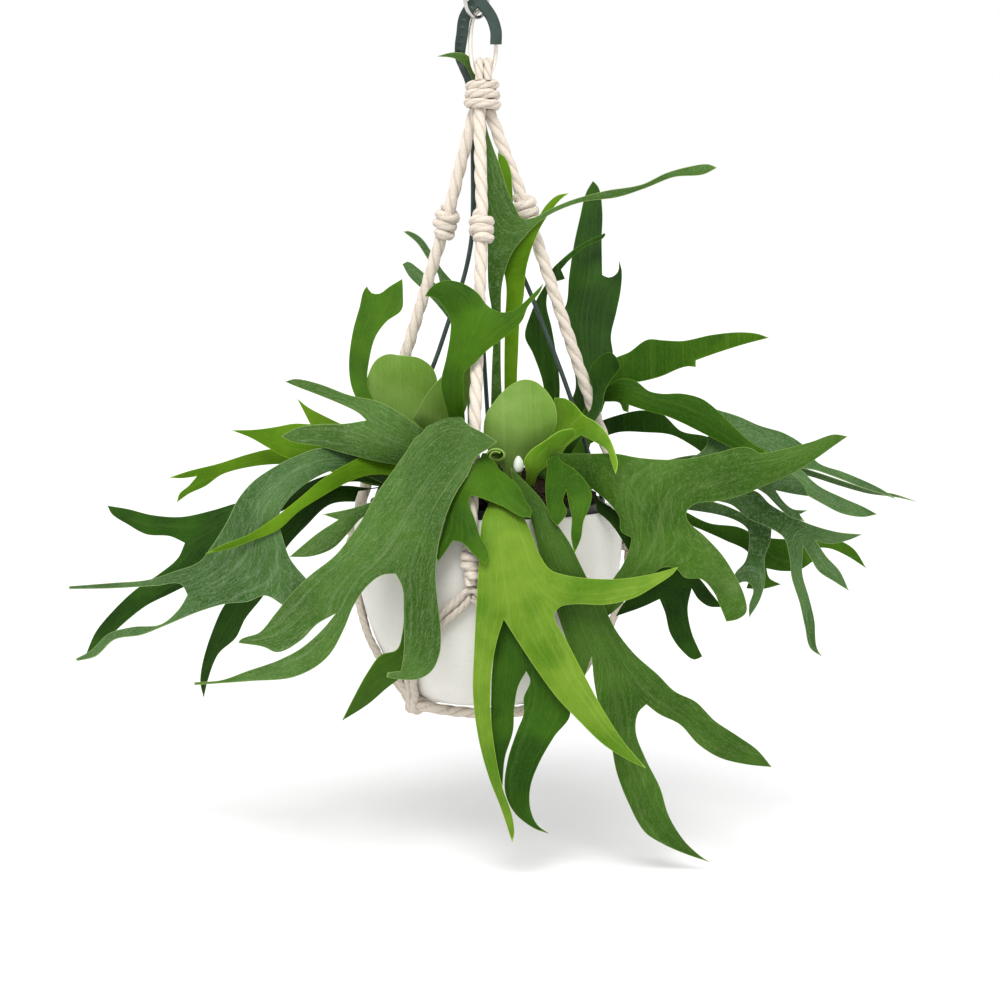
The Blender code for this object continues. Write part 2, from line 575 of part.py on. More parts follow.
frond("frond_right_fork", [
    (58, -370), (100, -366), (150, -374), (170, -377), (190, -379), (203, -378), (214, -388), (232, -398),
    (250, -405), (266, -409),
    (283, -410.5), (272, -415), (258, -417.5), (248, -415), (256, -427), (266, -438), (273, -453),
    (262, -446),
    (250, -438), (244, -428), (238.5, -419), (238, -440), (243, -458), (247, -475), (249, -496),
    (253, -502.5),
    (244, -496), (240, -480), (236, -462), (230, -443), (228, -426), (224, -413), (212, -405), (198, -399),
    (184, -388), (150, -384), (100, -376), (58, -379)],
    [(59, -374, -20), (100, -371, -48), (152, -380, -62), (200, -390, -62), (245, -408, -56),
     (282, -411, -36), (272, -452, -30),
     (252, -501, -40), (238, -450, -46)], GREY)
frond("frond_right_drop", [
    (58, -372), (100, -372), (140, -380), (178, -388), (192, -394), (206, -401), (215, -405), (214, -416),
    (210, -427), (210, -446), (206, -460),
    (198, -473), (198, -464), (201, -451), (196, -446), (188, -448), (187, -441), (195, -431), (198, -418),
    (197, -407), (188, -400), (140, -390), (100, -381), (58, -381)],
    [(59, -376, -8), (100, -376, -34), (180, -393, -50), (205, -410, -43), (200, -470, -38),
     (188, -445, -42)], PALE)
frond("frond_right_under", [
    (56, -371), (100, -374), (140, -388), (168, -402), (190, -405), (206, -412), (224, -414), (244, -414),
    (262, -414), (276, -421), (286, -436),
    (272, -427), (258, -421), (240, -421), (247, -430), (236, -437), (222, -438), (211, -436), (213, -443),
    (222, -448), (208, -451.5), (196, -451), (200, -438), (198, -425), (180, -415), (140, -398),
    (100, -383), (56, -379)],
    [(57, -375, 4), (100, -379, -20), (170, -408, -34), (205, -420, -24), (246, -430, -8), (285, -435, 10),
     (205, -448, -24)], LIME)
frond("frond_right_grey", [
    (60, -369), (110, -358), (148, -356), (166, -344), (168, -326), (174, -317), (190, -322), (206, -329),
    (224, -334.5), (238, -343), (250, -357),
    (268, -363.5), (286, -371), (298, -377), (308, -384), (297, -380), (282, -375), (264, -368), (246, -362),
    (236, -361), (250, -374), (268, -383), (284, -390), (294, -395.5), (284, -397.5), (268, -395),
    (252, -387),
    (238, -379), (220, -366), (204, -352), (188, -352), (160, -363), (110, -367), (60, -377)],
    [(61, -373, 14), (82, -368, 10.5), (104, -362, 5), (120, -360, 0), (180, -328, -2), (230, -355, -8),
     (305, -383, 26), (292, -396, 4)], GREY)
frond("frond_right_thin", [
    (58, -368), (110, -362), (150, -352), (176, -350), (200, -352), (228, -358), (246, -363), (270, -371),
    (290, -377.5), (306, -380), (324, -386),
    (308, -382.5), (288, -380), (266, -374), (244, -367), (226, -363), (200, -358), (176, -357),
    (150, -361), (110, -370), (58, -376)],
    [(59, -372, 36), (104, -366, 30), (150, -356, 22), (178, -353, 16), (235, -362, 10), (322, -386, 46)],
     GREY)
frond("frond_right_small", [
    (60, -369), (110, -362), (150, -360), (186, -364), (206, -363), (228, -364), (237, -371), (243, -382),
    (230, -380), (218, -377.5), (224, -386),
    (231, -391.5), (242, -392.5), (236, -395.5), (240, -401), (228, -397), (219, -389), (210, -380),
    (196, -373), (150, -369), (110, -371), (60, -378)],
    [(61, -374, -32), (110, -367, -62), (188, -370, -74), (220, -372, -74), (242, -382, -72),
     (238, -396, -70)], LIME)
frond("frond_right_arch", [
    (52, -375), (66, -340), (78, -312), (92, -299), (103, -293.5), (113, -295.5), (123, -303), (132, -305),
    (148, -305),
    (163, -309), (176, -319), (188, -331), (199, -341), (213, -349), (196, -350), (180, -343), (165, -335.5),
    (148, -327), (135, -321.5), (120, -317.5), (108, -313.5), (107.5, -319), (104, -318), (101, -312),
    (90, -311),
    (80, -340), (66, -373)],
    [(60, -372, 18), (76, -330, 25), (100, -303, 19), (140, -312, 2), (175, -330, -20), (212, -349, -44)],
     GREEN)
frond("frond_right_upper", [
    (50, -373), (68, -332), (80, -304), (97, -279), (108, -274), (122, -264.5), (134, -265), (148, -265.5),
    (170, -261),
    (190, -259), (204, -260), (213, -263), (194, -268), (172, -275), (158, -280), (158, -285), (152, -284.5),
    (146, -286), (132, -292), (116, -296), (100, -297), (86, -312), (76, -340), (62, -374)],
    [(56, -372, 27), (74, -326, 34), (92, -292, 33), (130, -280, 16), (212, -263, -34)], GREEN)
frond("frond_back_right", [
    (38, -374), (52, -340), (62, -316), (68, -300), (62, -270), (55, -250), (61, -238), (63, -218),
    (67, -192), (71, -174),
    (76, -154), (81, -145.5), (85, -150), (88, -168), (87.5, -190), (88, -216), (93, -218), (99.5, -214),
    (100.5, -205), (102.5, -212), (102, -226), (98.5, -244), (94.5, -262), (96, -278), (88, -300), (76, -334),
    (54, -374)],
    [(46, -372, 36), (72, -305, 46), (78, -250, 66), (82, -150, 108), (101, -210, 80)], DARK)
frond("frond_right_folded", [
    (44, -373), (56, -346), (66, -330), (79, -317), (80.5, -300), (78, -289), (86, -277), (94, -274),
    (98, -277),
    (101.5, -284), (95, -294), (90, -304), (87, -318), (76, -334), (66, -348), (56, -373)],
    [(50, -372, -6), (62, -340, -6), (80, -318, -3), (88, -295, 4), (98, -280, -2)], GREEN)
frond("frond_right_dark_upper", [
    (42, -373), (54, -350), (70, -336), (86, -326), (100, -321), (118, -317.5), (133, -320.5), (147, -333),
    (166, -337),
    (186, -347), (190, -354), (170, -354), (157, -345), (140, -336), (120, -334), (100, -334), (80, -342),
    (62, -356), (54, -374)],
    [(48, -372, 44), (66, -345, 52), (90, -328, 58), (130, -326, 64), (185, -350, 74)], DARK)
frond("frond_back_tall", [
    (2, -374), (4, -330), (5, -290), (6, -250), (2.5, -225), (2, -190), (1.5, -150), (1, -125), (-1, -108),
    (-5, -92),
    (-8, -76), (-11, -66), (-15.5, -58.5), (-23, -53.5), (-36, -52), (-24, -49), (-15, -50), (-10.5, -54),
    (-8.2, -60), (-6, -67), (-2.5, -80), (0, -96), (1.5, -106), (6, -120), (12, -136), (17, -152),
    (23, -166), (28, -173.5),
    (36, -173), (50, -166), (66, -159.5), (90, -153), (118, -148), (136, -139.5), (152, -135), (168, -133),
    (174, -135.5), (164, -140.5), (142, -142.5), (120, -151), (100, -157.5), (72, -161.5), (54, -168),
    (42, -175), (30, -187), (20, -200), (13, -222), (12, -250), (12, -290), (14, -330), (16, -374)],
    [(9, -373, 10), (9, -326, 8), (9, -270, 0), (8, -215, -8), (12, -165, -10), (5, -125, 0), (0, -108, 10),
     (-2, -93, 21.5), (-3, -80, 23.5), (-7, -69, 23), (-9.5, -63, 17.5), (-11.5, -58.5, 12),
     (-14, -55.5, 9.3),
     (-19, -52, 7.6), (-35, -52, 3), (50, -167, -6), (110, -152, -20), (172, -135, -36)], GREEN, 1.1)
frond("frond_back_bright", [
    (16, -374), (15, -330), (14.5, -290), (15, -250), (16, -225), (12, -200), (13, -170), (11, -145),
    (9.5, -124),
    (15, -128), (19, -137), (20.5, -152), (21.5, -168), (24, -184), (32, -181.5), (39, -174), (46, -163.5),
    (54, -156.5), (63, -154.5), (57, -159), (49, -168.5), (42, -179.5), (36, -193), (31, -211), (29, -232),
    (26, -250), (25, -270), (24, -300), (26, -330), (28, -374)],
    [(22, -372, 22), (20, -328, 18), (20, -270, 8), (22, -215, 0), (12, -130, 3.5), (34, -180, -3),
     (60, -156, 2)], LIME, 1.1)
frond("frond_back_dark", [
    (26, -374), (36, -346), (44, -325), (44, -300), (36, -275), (30, -262), (34, -246), (40, -232),
    (46, -222), (50, -212),
    (58, -204), (72, -193), (90, -184.5), (90, -186.5), (74, -195.5), (63, -205), (57, -212), (60, -219),
    (50, -223), (46, -236), (50, -256), (54, -280), (56, -300), (54, -325), (48, -348), (42, -374)],
    [(34, -372, 30), (42, -340, 32), (48, -290, 34), (44, -240, 42), (60, -210, 56), (90, -185, 78)], DARK)
frond("frond_centre_fold", [
    (-22, -375), (-23, -346), (-28, -320), (-33, -298), (-29, -278), (-26, -260), (-26, -250), (-31, -240),
    (-38, -233),
    (-45, -232), (-42, -227), (-36, -222), (-26, -220), (-14, -223.5), (-5, -230), (2, -239), (12, -244),
    (22, -242), (34, -232), (44, -222), (41, -229), (32, -240), (28, -250), (18, -260), (6, -269), (-2, -276),
    (-8, -282.5), (-15, -288), (-16, -305), (-15, -325), (-14, -346), (-12, -375)],
    [(-17, -374, -30), (-18, -344, -52), (-22, -300, -74), (-10, -260, -72), (-40, -228, -66),
     (42, -225, -66), (12, -250, -74)],
    GREEN)
frond("frond_back_left", [
    (-14, -374), (-13, -340), (-14, -300), (-18, -268), (-27, -250), (-38, -236), (-48, -226), (-57, -217),
    (-62, -208),
    (-58, -206), (-50, -211), (-42, -218), (-33, -226), (-36, -214), (-43, -204), (-51, -192), (-61, -183.5),
    (-58, -183), (-48, -188), (-40, -199), (-32, -212), (-22, -224), (-14, -240), (-8, -268), (-6, -300),
    (-4, -340), (-4, -374)],
    [(-9, -373, 20), (-9, -338, 28), (-14, -280, 42), (-26, -240, 50), (-60, -208, 70), (-60, -184, 84)],
     GREY)
frond("frond_left_upright", [
    (-52, -374), (-64, -346), (-80, -328), (-92, -316), (-100, -300), (-102, -283), (-99, -258),
    (-94, -240), (-91, -228),
    (-88.5, -224.5), (-85, -229.5), (-79, -230), (-72, -225), (-62, -219), (-61.5, -230), (-62.5, -242),
    (-74, -251), (-82, -262), (-86.5, -278), (-88, -298), (-82, -312), (-66, -328), (-52, -346), (-38, -374)],
    [(-45, -372, -6), (-58, -344, -14), (-80, -322, -12), (-95, -290, 2), (-90, -235, 34), (-64, -225, 30)],
     LIME)
frond("frond_left_mid", [
    (-20, -378), (-30, -352), (-40, -337), (-52, -328), (-66, -318), (-80, -311), (-102, -306),
    (-125, -297.5), (-143, -294),
    (-150, -296), (-142, -299.5), (-125, -306), (-108, -313), (-95, -319.5), (-89, -325), (-105, -327.5),
    (-125, -328), (-142, -331), (-153, -337), (-146, -340.5), (-124, -344.5), (-104, -350), (-82, -355.5),
    (-62, -359), (-42, -364), (-32, -378)],
    [(-26, -377, -14), (-38, -352, -28), (-60, -340, -44), (-100, -336, -46), (-152, -337, -40),
     (-95, -312, -40),
     (-149, -296, -30)], GREEN)
frond("frond_left_bright", [
    (-38, -378), (-52, -358), (-72, -346), (-92, -338), (-104, -330), (-120, -322), (-133, -315),
    (-141, -308.5), (-136, -318),
    (-131, -328), (-143, -327.5), (-157, -330), (-172, -332), (-190, -332.5), (-176, -338), (-160, -347),
    (-147, -353.5), (-126, -352), (-104, -353), (-84, -360), (-64, -368), (-50, -380)],
    [(-47, -373, 18), (-60, -362, 12), (-90, -350, -12), (-125, -340, -14), (-189, -333, 14),
     (-140, -312, 2)], LIME)
frond("frond_left_olive", [
    (-44, -372), (-62, -368), (-84, -364), (-106, -356), (-130, -349), (-160, -346.5), (-178, -350.5),
    (-200, -357.5),
    (-222, -363), (-237, -368), (-228, -368.5), (-216, -367), (-222, -374), (-229, -380), (-231, -386.5),
    (-222, -380), (-210, -374.5), (-198, -366), (-184, -361.5), (-160, -358), (-132, -359), (-108, -366),
    (-88, -373), (-66, -376), (-44, -380)],
    [(-45, -376, 26), (-64, -372, 24), (-100, -362, 16), (-160, -352, 26), (-236, -368, 62),
     (-230, -386, 56)], PALE)
frond("frond_left_silver", [
    (-38, -376), (-54, -370), (-76, -358), (-100, -349), (-124, -346), (-142, -352), (-158, -360),
    (-174, -371), (-185, -384),
    (-194, -402), (-206, -421), (-214, -431), (-232, -438), (-252, -444.5), (-280, -447), (-312, -449.5),
    (-312, -451.5), (-280, -451), (-246, -449), (-228, -448), (-223, -456), (-229, -466), (-243, -478),
    (-264, -480), (-282, -485), (-296, -498), (-307, -504), (-306, -505.5), (-292, -502), (-278, -489.5),
    (-258, -486), (-240, -479), (-216, -469), (-194, -462.5), (-178, -461), (-165, -456.5), (-151, -464),
    (-133, -445), (-146, -429), (-152, -412), (-155, -398), (-148, -385), (-132, -371), (-110, -362),
    (-86, -368), (-62, -380), (-40, -386)],
    [(-40, -380, -10), (-58, -374, -16), (-95, -357, -33), (-140, -364, -58), (-170, -395, -72),
     (-190, -435, -70),
     (-140, -448, -74), (-310, -450, -10), (-304, -504, -64), (-240, -470, -62)], GREY)
frond("frond_left_dark", [
    (-44, -372), (-70, -366), (-100, -362), (-124, -368), (-148, -378), (-166, -382), (-186, -387),
    (-206, -393), (-228, -397.5), (-250, -396), (-268, -391.5),
    (-283, -389), (-280, -395), (-268, -403), (-254, -410.5), (-236, -412), (-225, -417), (-230, -428),
    (-244, -440), (-262, -452), (-278, -467), (-292, -484), (-299, -500), (-290, -496), (-274, -480),
    (-254, -464), (-234, -454), (-216, -444), (-204, -430), (-192, -414), (-174, -402), (-150, -392),
    (-126, -378), (-100, -371), (-70, -375), (-44, -380)],
    [(-45, -376, -2), (-70, -370, -6), (-100, -366, -16), (-150, -384, -34), (-195, -405, -34),
     (-282, -391, 20),
     (-298, -498, -4), (-235, -445, -30)], DARK)
frond("frond_left_down", [
    (-44, -374), (-84, -376), (-104, -374), (-124, -376), (-142, -388), (-156, -404), (-168, -424),
    (-172, -444), (-184, -452),
    (-195, -463), (-204, -482), (-212, -508), (-213.5, -522), (-211, -533), (-208, -520), (-200, -500),
    (-187, -488), (-180, -474), (-166, -456), (-158, -440), (-150, -422), (-134, -404), (-116, -388),
    (-90, -386), (-44, -384)],
    [(-45, -379, 22), (-88, -382, 6), (-125, -386, -20), (-160, -425, -42), (-180, -465, -40),
     (-211, -530, -14)], DARK)
frond("frond_left_thin", [
    (-42, -384), (-52, -366), (-66, -359), (-88, -351.5), (-104, -358), (-122, -369), (-140, -384),
    (-158, -398),
    (-178, -411), (-196, -418), (-210, -425), (-194, -422), (-174, -415), (-155, -407), (-140, -393.5),
    (-122, -382), (-104, -372), (-86, -366), (-68, -367), (-56, -374), (-48, -384)],
    [(-44, -378, -26), (-58, -366, -33), (-90, -358, -42), (-140, -388, -74), (-208, -424, -82)], PALE)
frond("frond_left_inner", [
    (-34, -381), (-46, -377), (-58, -378), (-70, -383), (-84, -386), (-100, -391), (-122, -395.5),
    (-110, -399.5), (-126, -410),
    (-147, -427.5), (-130, -427), (-114, -421), (-102, -409), (-92, -398), (-78, -394), (-60, -390),
    (-46, -386), (-36, -389)],
    [(-29, -385, -50), (-45, -382, -60), (-62, -384, -70), (-88, -392, -82), (-120, -396, -76),
     (-145, -427, -80)], LIME)
frond("frond_low_left", [
    (-28, -378), (-18, -380), (-25, -392), (-36, -404), (-44, -436), (-46, -470), (-52, -500), (-63, -517),
    (-74, -526), (-88, -538), (-107, -550),
    (-98, -532), (-88, -514), (-78, -501), (-66, -497), (-62, -485), (-60, -440), (-52, -408), (-44, -392)],
    [(-23, -379, -50), (-35, -392, -88), (-44, -406, -101), (-52, -436, -103), (-54, -480, -101),
     (-75, -515, -94), (-106, -549, -84)], DARK)

# ---------------------------------------------------------------- shield fronds, bud and curl at the crown
frond("shield_round", [
    (17, -373), (13, -361), (6, -350), (0, -341), (-1, -329), (1, -320), (7, -311), (16, -301),
    (28, -294.5), (38, -296),
    (47, -304), (53, -315), (53.5, -327), (49, -337), (41, -345), (34, -352), (28, -362), (26, -373)],
    [(21, -372, -42), (20, -360, -47), (26, -340, -56), (28, -298, -54), (2, -328, -60), (52, -320, -58)],
     PALE, SHIELD_T, 14.0)
frond("shield_lip", [
    (30, -377), (31, -364), (29, -356), (34, -348), (44, -341), (56, -333), (66, -331), (68, -336),
    (60, -343), (50, -348),
    (47, -358), (40, -365), (36, -377)],
    [(33, -373, -52), (36, -363, -64), (40, -350, -69), (66, -333, -66)], LIME, SHIELD_T, 12.0)
frond("shield_curled", [
    (42, -373), (48, -346), (53, -326), (52, -308), (60, -308.5), (67, -313), (74, -321), (84, -327),
    (92, -336),
    (97, -347), (99.5, -358), (98, -365), (95, -357), (92, -348), (82, -341), (72, -336), (60, -346),
    (52, -373)],
    [(47, -372, -12), (54, -344, -22), (58, -312, -32), (76, -330, -44), (98, -362, -100)], LIME, SHIELD_T,
     12.0)
frond("shield_left_back", [
    (-38, -374), (-50, -344), (-66, -330), (-84, -320), (-90, -306), (-87, -289), (-82, -280),
    (-74, -275.5), (-62, -276.5),
    (-50, -278), (-40, -285), (-36, -294), (-37, -310), (-34, -335), (-28, -374)],
    [(-33, -373, 14), (-45, -338, 10), (-66, -316, 6), (-84, -285, 4), (-42, -290, 12)], PALE, SHIELD_T, 14.0)
frond("shield_left_front", [
    (-28, -376), (-34, -350), (-44, -336), (-54, -324), (-46, -309), (-38, -298), (-29, -289.5),
    (-18, -284), (-9, -284),
    (-11, -296), (-13, -312), (-18, -326), (-24, -348), (-22, -376)],
    [(-25, -375, 2), (-29, -348, -14), (-36, -315, -34), (-14, -288, -52)], PALE, SHIELD_T, 14.0)
frond("frond_wavy", [
    (46, -355), (50, -353), (50, -322), (56, -322), (56, -354), (66, -361), (75, -370), (80, -380),
    (78, -391), (74, -400), (72, -413), (67, -425),
    (64.5, -412), (65, -398), (63, -388), (61, -377), (58.5, -385), (61.5, -394), (58, -400), (54, -404.5),
    (49, -398), (46, -386), (45.5, -372), (47, -360)],
    [(52, -354, -74), (50, -378, -94), (70, -378, -98), (54, -402, -112), (68, -400, -110), (67, -424, -112)],
    LIME, SHIELD_T, 12.0, fold=([(44, -354), (60, -354)], 3.2, 1.4))

curl = []
for i in range(22):
    a = math.radians(200 - 24 * i)
    r = 7.4 - 0.17 * i
    curl.append((8.5 + r * math.cos(a), -352.5 + 0.72 * r * math.sin(a)))
verts = []
for u, v in curl:
    c = seen(u, v, -60.4)
    w = np.array([u - 8.5, 0.0, (v + 352.5) / 0.72])
    w = w / np.linalg.norm(w) * 0.55
    for k, depth in ((1, -4.5), (1, 5.5), (-1, 5.5), (-1, -4.5)):
        verts.append(c + w * k + np.array([0.0, depth, -0.35 * depth]))
faces = [(0, 1, 2, 3)]
for i in range(len(curl) - 1):
    for j in range(4):
        m = (j + 1) % 4
        faces.append((4 * i + j, 4 * i + 4 + j, 4 * i + 4 + m, 4 * i + m))
faces.append(tuple(4 * (len(curl) - 1) + j for j in reversed(range(4))))
body("frond_curl", verts, faces, PALE)

bud_mid = seen(25.0, -358.0, -54.0)
lathe("bud", [(0, bud_mid[2] - 6.0), (2.6, bud_mid[2] - 5.0), (3.7, bud_mid[2] - 1.5), (3.2, bud_mid[2] + 2.5),
              (1.4, bud_mid[2] + 5.4), (0, bud_mid[2] + 6.0)], 12, WHITE, bud_mid[0], bud_mid[1])
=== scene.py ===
"""Looks of the hanging staghorn fern: fine leaves, twisted ropes, bowl, soil and wire over the frame."""
import math

import bpy
import numpy as np
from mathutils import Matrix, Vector
from mathutils.geometry import delaunay_2d_cdt


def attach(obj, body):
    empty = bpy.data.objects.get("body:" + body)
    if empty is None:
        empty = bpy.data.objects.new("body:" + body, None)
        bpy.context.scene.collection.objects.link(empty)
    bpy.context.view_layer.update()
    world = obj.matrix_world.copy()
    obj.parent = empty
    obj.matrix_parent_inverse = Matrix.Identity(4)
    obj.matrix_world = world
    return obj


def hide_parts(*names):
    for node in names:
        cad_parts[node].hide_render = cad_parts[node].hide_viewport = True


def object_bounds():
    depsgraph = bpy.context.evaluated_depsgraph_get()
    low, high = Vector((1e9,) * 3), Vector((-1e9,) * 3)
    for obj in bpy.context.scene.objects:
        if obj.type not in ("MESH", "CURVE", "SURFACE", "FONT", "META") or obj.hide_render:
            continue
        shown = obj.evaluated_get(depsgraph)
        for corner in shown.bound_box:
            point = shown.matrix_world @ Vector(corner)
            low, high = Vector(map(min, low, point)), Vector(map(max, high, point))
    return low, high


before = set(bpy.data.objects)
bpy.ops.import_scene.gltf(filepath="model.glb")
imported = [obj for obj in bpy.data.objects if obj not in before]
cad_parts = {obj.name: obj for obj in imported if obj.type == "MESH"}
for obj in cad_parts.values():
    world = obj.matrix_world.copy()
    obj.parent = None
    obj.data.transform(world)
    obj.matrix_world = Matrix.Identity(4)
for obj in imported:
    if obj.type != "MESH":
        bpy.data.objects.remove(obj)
CAD_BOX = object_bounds()

# ---------------------------------------------------------------- the part's layout, in mm
MM = 0.001
VIEW_DIST, VIEW_DOWN, VIEW_U, VIEW_V = 2000.0, math.radians(5.75), 11.25, -384.75
HANG = np.array([-6.4, 0.0, -4.1])      # inside top of the ring, the origin of the frame
AXIS_X, SOIL_Z = 2.0, -376.0            # bowl axis, top of the soil
CROWN_X, CROWN_Y, CROWN_R, CROWN_H = 12.0, 4.0, 62.0, 15.0
BOWL_RIM_REACH = 98.5                   # from the axis to just past the bowl's rim
FWD = np.array([0.0, math.cos(VIEW_DOWN), -math.sin(VIEW_DOWN)])
UPV = np.array([0.0, math.sin(VIEW_DOWN), math.cos(VIEW_DOWN)])
EYE = np.array([VIEW_U, 0.0, VIEW_V]) - FWD * VIEW_DIST
RNG = np.random.default_rng(7)


def seen(u, v, y):
    """Layout points at depth y that the viewer sees at (u, v); takes numbers or arrays."""
    u, v, y = np.broadcast_arrays(np.asarray(u, float), np.asarray(v, float), np.asarray(y, float))
    ray = (FWD + np.array([1.0, 0, 0]) * ((u - VIEW_U) / VIEW_DIST)[..., None]
           + UPV * ((v - VIEW_V) / VIEW_DIST)[..., None])
    return EYE + ray * ((y - EYE[1]) / ray[..., 1])[..., None]


# ---------------------------------------------------------------- collecting and making pieces
class Mesh:
    """Vertices in layout mm, faces, and one vector a vertex that the materials read as "grain"."""

    def __init__(self):
        self.v, self.f, self.g = [], [], []

    def add(self, verts, faces, grain):
        off = sum(len(a) for a in self.v)
        self.v.append(np.asarray(verts, float).reshape(-1, 3))
        self.g.append(np.asarray(grain, float).reshape(-1, 3))
        self.f += [tuple(int(i) + off for i in f) for f in faces]

    def make(self, name, node, mat, sharp=None):
        mesh = bpy.data.meshes.new(name)
        pts = (np.concatenate(self.v) - HANG) * MM
        mesh.from_pydata(pts.tolist(), [], self.f)
        mesh.validate()
        attr = mesh.attributes.new("grain", "FLOAT_VECTOR", "POINT")
        attr.data.foreach_set("vector", np.concatenate(self.g).astype(np.float32).ravel())
        mesh.polygons.foreach_set("use_smooth", [True] * len(mesh.polygons))
        if sharp:
            mesh.set_sharp_from_angle(angle=math.radians(sharp))
        mesh.update()
        obj = bpy.data.objects.new(name, mesh)
        bpy.context.scene.collection.objects.link(obj)
        mesh.materials.append(mat)
        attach(obj, "root")
        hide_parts(node)


def curve(points, step):
    """Catmull-Rom points about step apart."""
    p = [np.asarray(q, float) for q in points]
    ext = [2 * p[0] - p[1]] + p + [2 * p[-1] - p[-2]]
    out = []
    for a, b, c, d in zip(ext, ext[1:], ext[2:], ext[3:]):
        n = max(1, int(round(np.linalg.norm(c - b) / step)))
        for k in range(n):
            t = k / n
            out.append(0.5 * (2 * b + (c - a) * t + (2 * a - 5 * b + 4 * c - d) * t * t
                              + (3 * b - a - 3 * c + d) * t ** 3))
    return np.array(out + [p[-1]])


def frames(path, closed=False):
    """Tangent, side and out vectors along a path, carried without twist, and the distance run."""
    if closed:
        tan = np.roll(path, -1, 0) - np.roll(path, 1, 0)
    else:
        tan = np.gradient(path, axis=0)
    tan /= np.linalg.norm(tan, axis=1)[:, None]
    side = np.array([1.0, 0, 0]) if abs(tan[0][0]) < 0.9 else np.array([0, 1.0, 0])
    sides = []
    for t in tan:
        side = side - t * float(side @ t)
        side = side / np.linalg.norm(side)
        sides.append(side)
    sides = np.array(sides)
    run = np.concatenate([[0.0], np.cumsum(np.linalg.norm(np.diff(path, axis=0), axis=1))])
    return tan, sides, np.cross(tan, sides), run


def quads(rows, cols, closed=False):
    """Faces of a grid whose rows run round; closed also joins its last row to its first."""
    faces = []
    for i in range(rows if closed else rows - 1):
        m = (i + 1) % rows
        for j in range(cols):
            q = (j + 1) % cols
            faces.append((i * cols + j, i * cols + q, m * cols + q, m * cols + j))
    return faces


def turned_over(faces):
    """The same quads facing the other way."""
    return [(a, d, c, b) for a, b, c, d in faces]


def sweep(out, path, radius, sides=16, closed=False, shape=None, squash=1.0):
    """A body along a path. shape(angle, run) gives the share of the radius, for lobes and ribs."""
    path = np.asarray(path, float)
    _tan, sd, ot, run = frames(path, closed)
    n = len(path)
    ang = 2 * np.pi * np.arange(sides) / sides
    r = np.array([radius(s) for s in run]) if callable(radius) else np.full(n, float(radius))
    if shape:
        k, twisted = shape(ang[None, :], run[:, None])
    else:
        k, twisted = np.ones((n, sides)), np.repeat(ang[None, :], n, 0)
    rr = r[:, None] * k
    verts = (path[:, None, :] + sd[:, None, :] * (rr * np.cos(ang))[..., None]
             + ot[:, None, :] * (rr * np.sin(ang) * squash)[..., None])
    grain = np.stack([np.broadcast_to(twisted, k.shape), np.repeat(run[:, None], sides, 1),
                      np.broadcast_to(k, (n, sides))], -1)
    faces = quads(n, sides, closed)
    if not closed:
        faces += [tuple(reversed(range(sides))), tuple(range((n - 1) * sides, n * sides))]
    out.add(verts, faces, grain)


def lay(pitch, start=0.0, plies=3, deep=0.38):
    """Section of a twisted cord: plies round strands that turn once in each pitch."""
    def shape(ang, run):
        tw = ang - 2 * np.pi * run / pitch - start
        gap = 2 * np.pi / plies
        phi = (tw + gap / 2) % gap - gap / 2
        rad = 1.0 - deep * 0.92
        off = 1.0 - rad
        k = off * np.cos(phi) + np.sqrt(np.maximum(rad ** 2 - (off * np.sin(phi)) ** 2, 1e-4))
        return k, np.broadcast_to(tw, k.shape)
    return shape


def wraps(out, a, b, reach, r, turns, tilt, start):
    """Rope laid round the line a-b in close turns, its two ends tucked in."""
    tuck_share, tuck_deep = 0.09, 0.8
    ax = (b - a) / np.linalg.norm(b - a)
    e1 = np.cross(ax, [0.3, 1.0, 0.1])
    e1 /= np.linalg.norm(e1)
    e2 = np.cross(ax, e1)
    t = np.linspace(0, 1, int(turns * 22) + 1)
    th = start + 2 * np.pi * turns * t
    tuck = 1 - sum(tuck_deep * np.clip(1 - s / tuck_share, 0, 1) for s in (t, 1 - t))
    p = (a + (b - a) * t[:, None] + (e1 * np.cos(th)[:, None] + e2 * np.sin(th)[:, None])
         * (reach * tuck)[:, None] + ax * (tilt * np.cos(th))[:, None])
    sweep(out, p, r, 18, shape=lay(-30.0, start, deep=0.36))


def turned(out, profile, sides, cx=AXIS_X, cy=0.0, step=2.0, wobble=0.0):
    """Body turned from (radius, z) points; sharp turns are kept by repeating a point."""
    prof = []
    for (r0, z0), (r1, z1) in zip(profile, profile[1:]):
        n = max(1, int(math.hypot(r1 - r0, z1 - z0) / step))
        prof += [(r0 + (r1 - r0) * k / n, z0 + (z1 - z0) * k / n) for k in range(n)]
    prof.append(profile[-1])
    prof = np.array([(max(r, 0.02), z) for r, z in prof])
    ang = 2 * np.pi * np.arange(sides) / sides
    wob = 1 + wobble * np.sin(3 * ang + 1.0)[None, :] * np.ones((len(prof), 1))
    verts = np.stack([cx + prof[:, :1] * wob * np.cos(ang), cy + prof[:, :1] * wob * np.sin(ang),
                      np.repeat(prof[:, 1:], sides, 1)], -1)
    grain = np.stack([np.repeat(ang[None, :], len(prof), 0), np.repeat(prof[:, :1], sides, 1),
                      np.repeat(prof[:, 1:], sides, 1)], -1)
    out.add(verts, quads(len(prof), sides), grain)


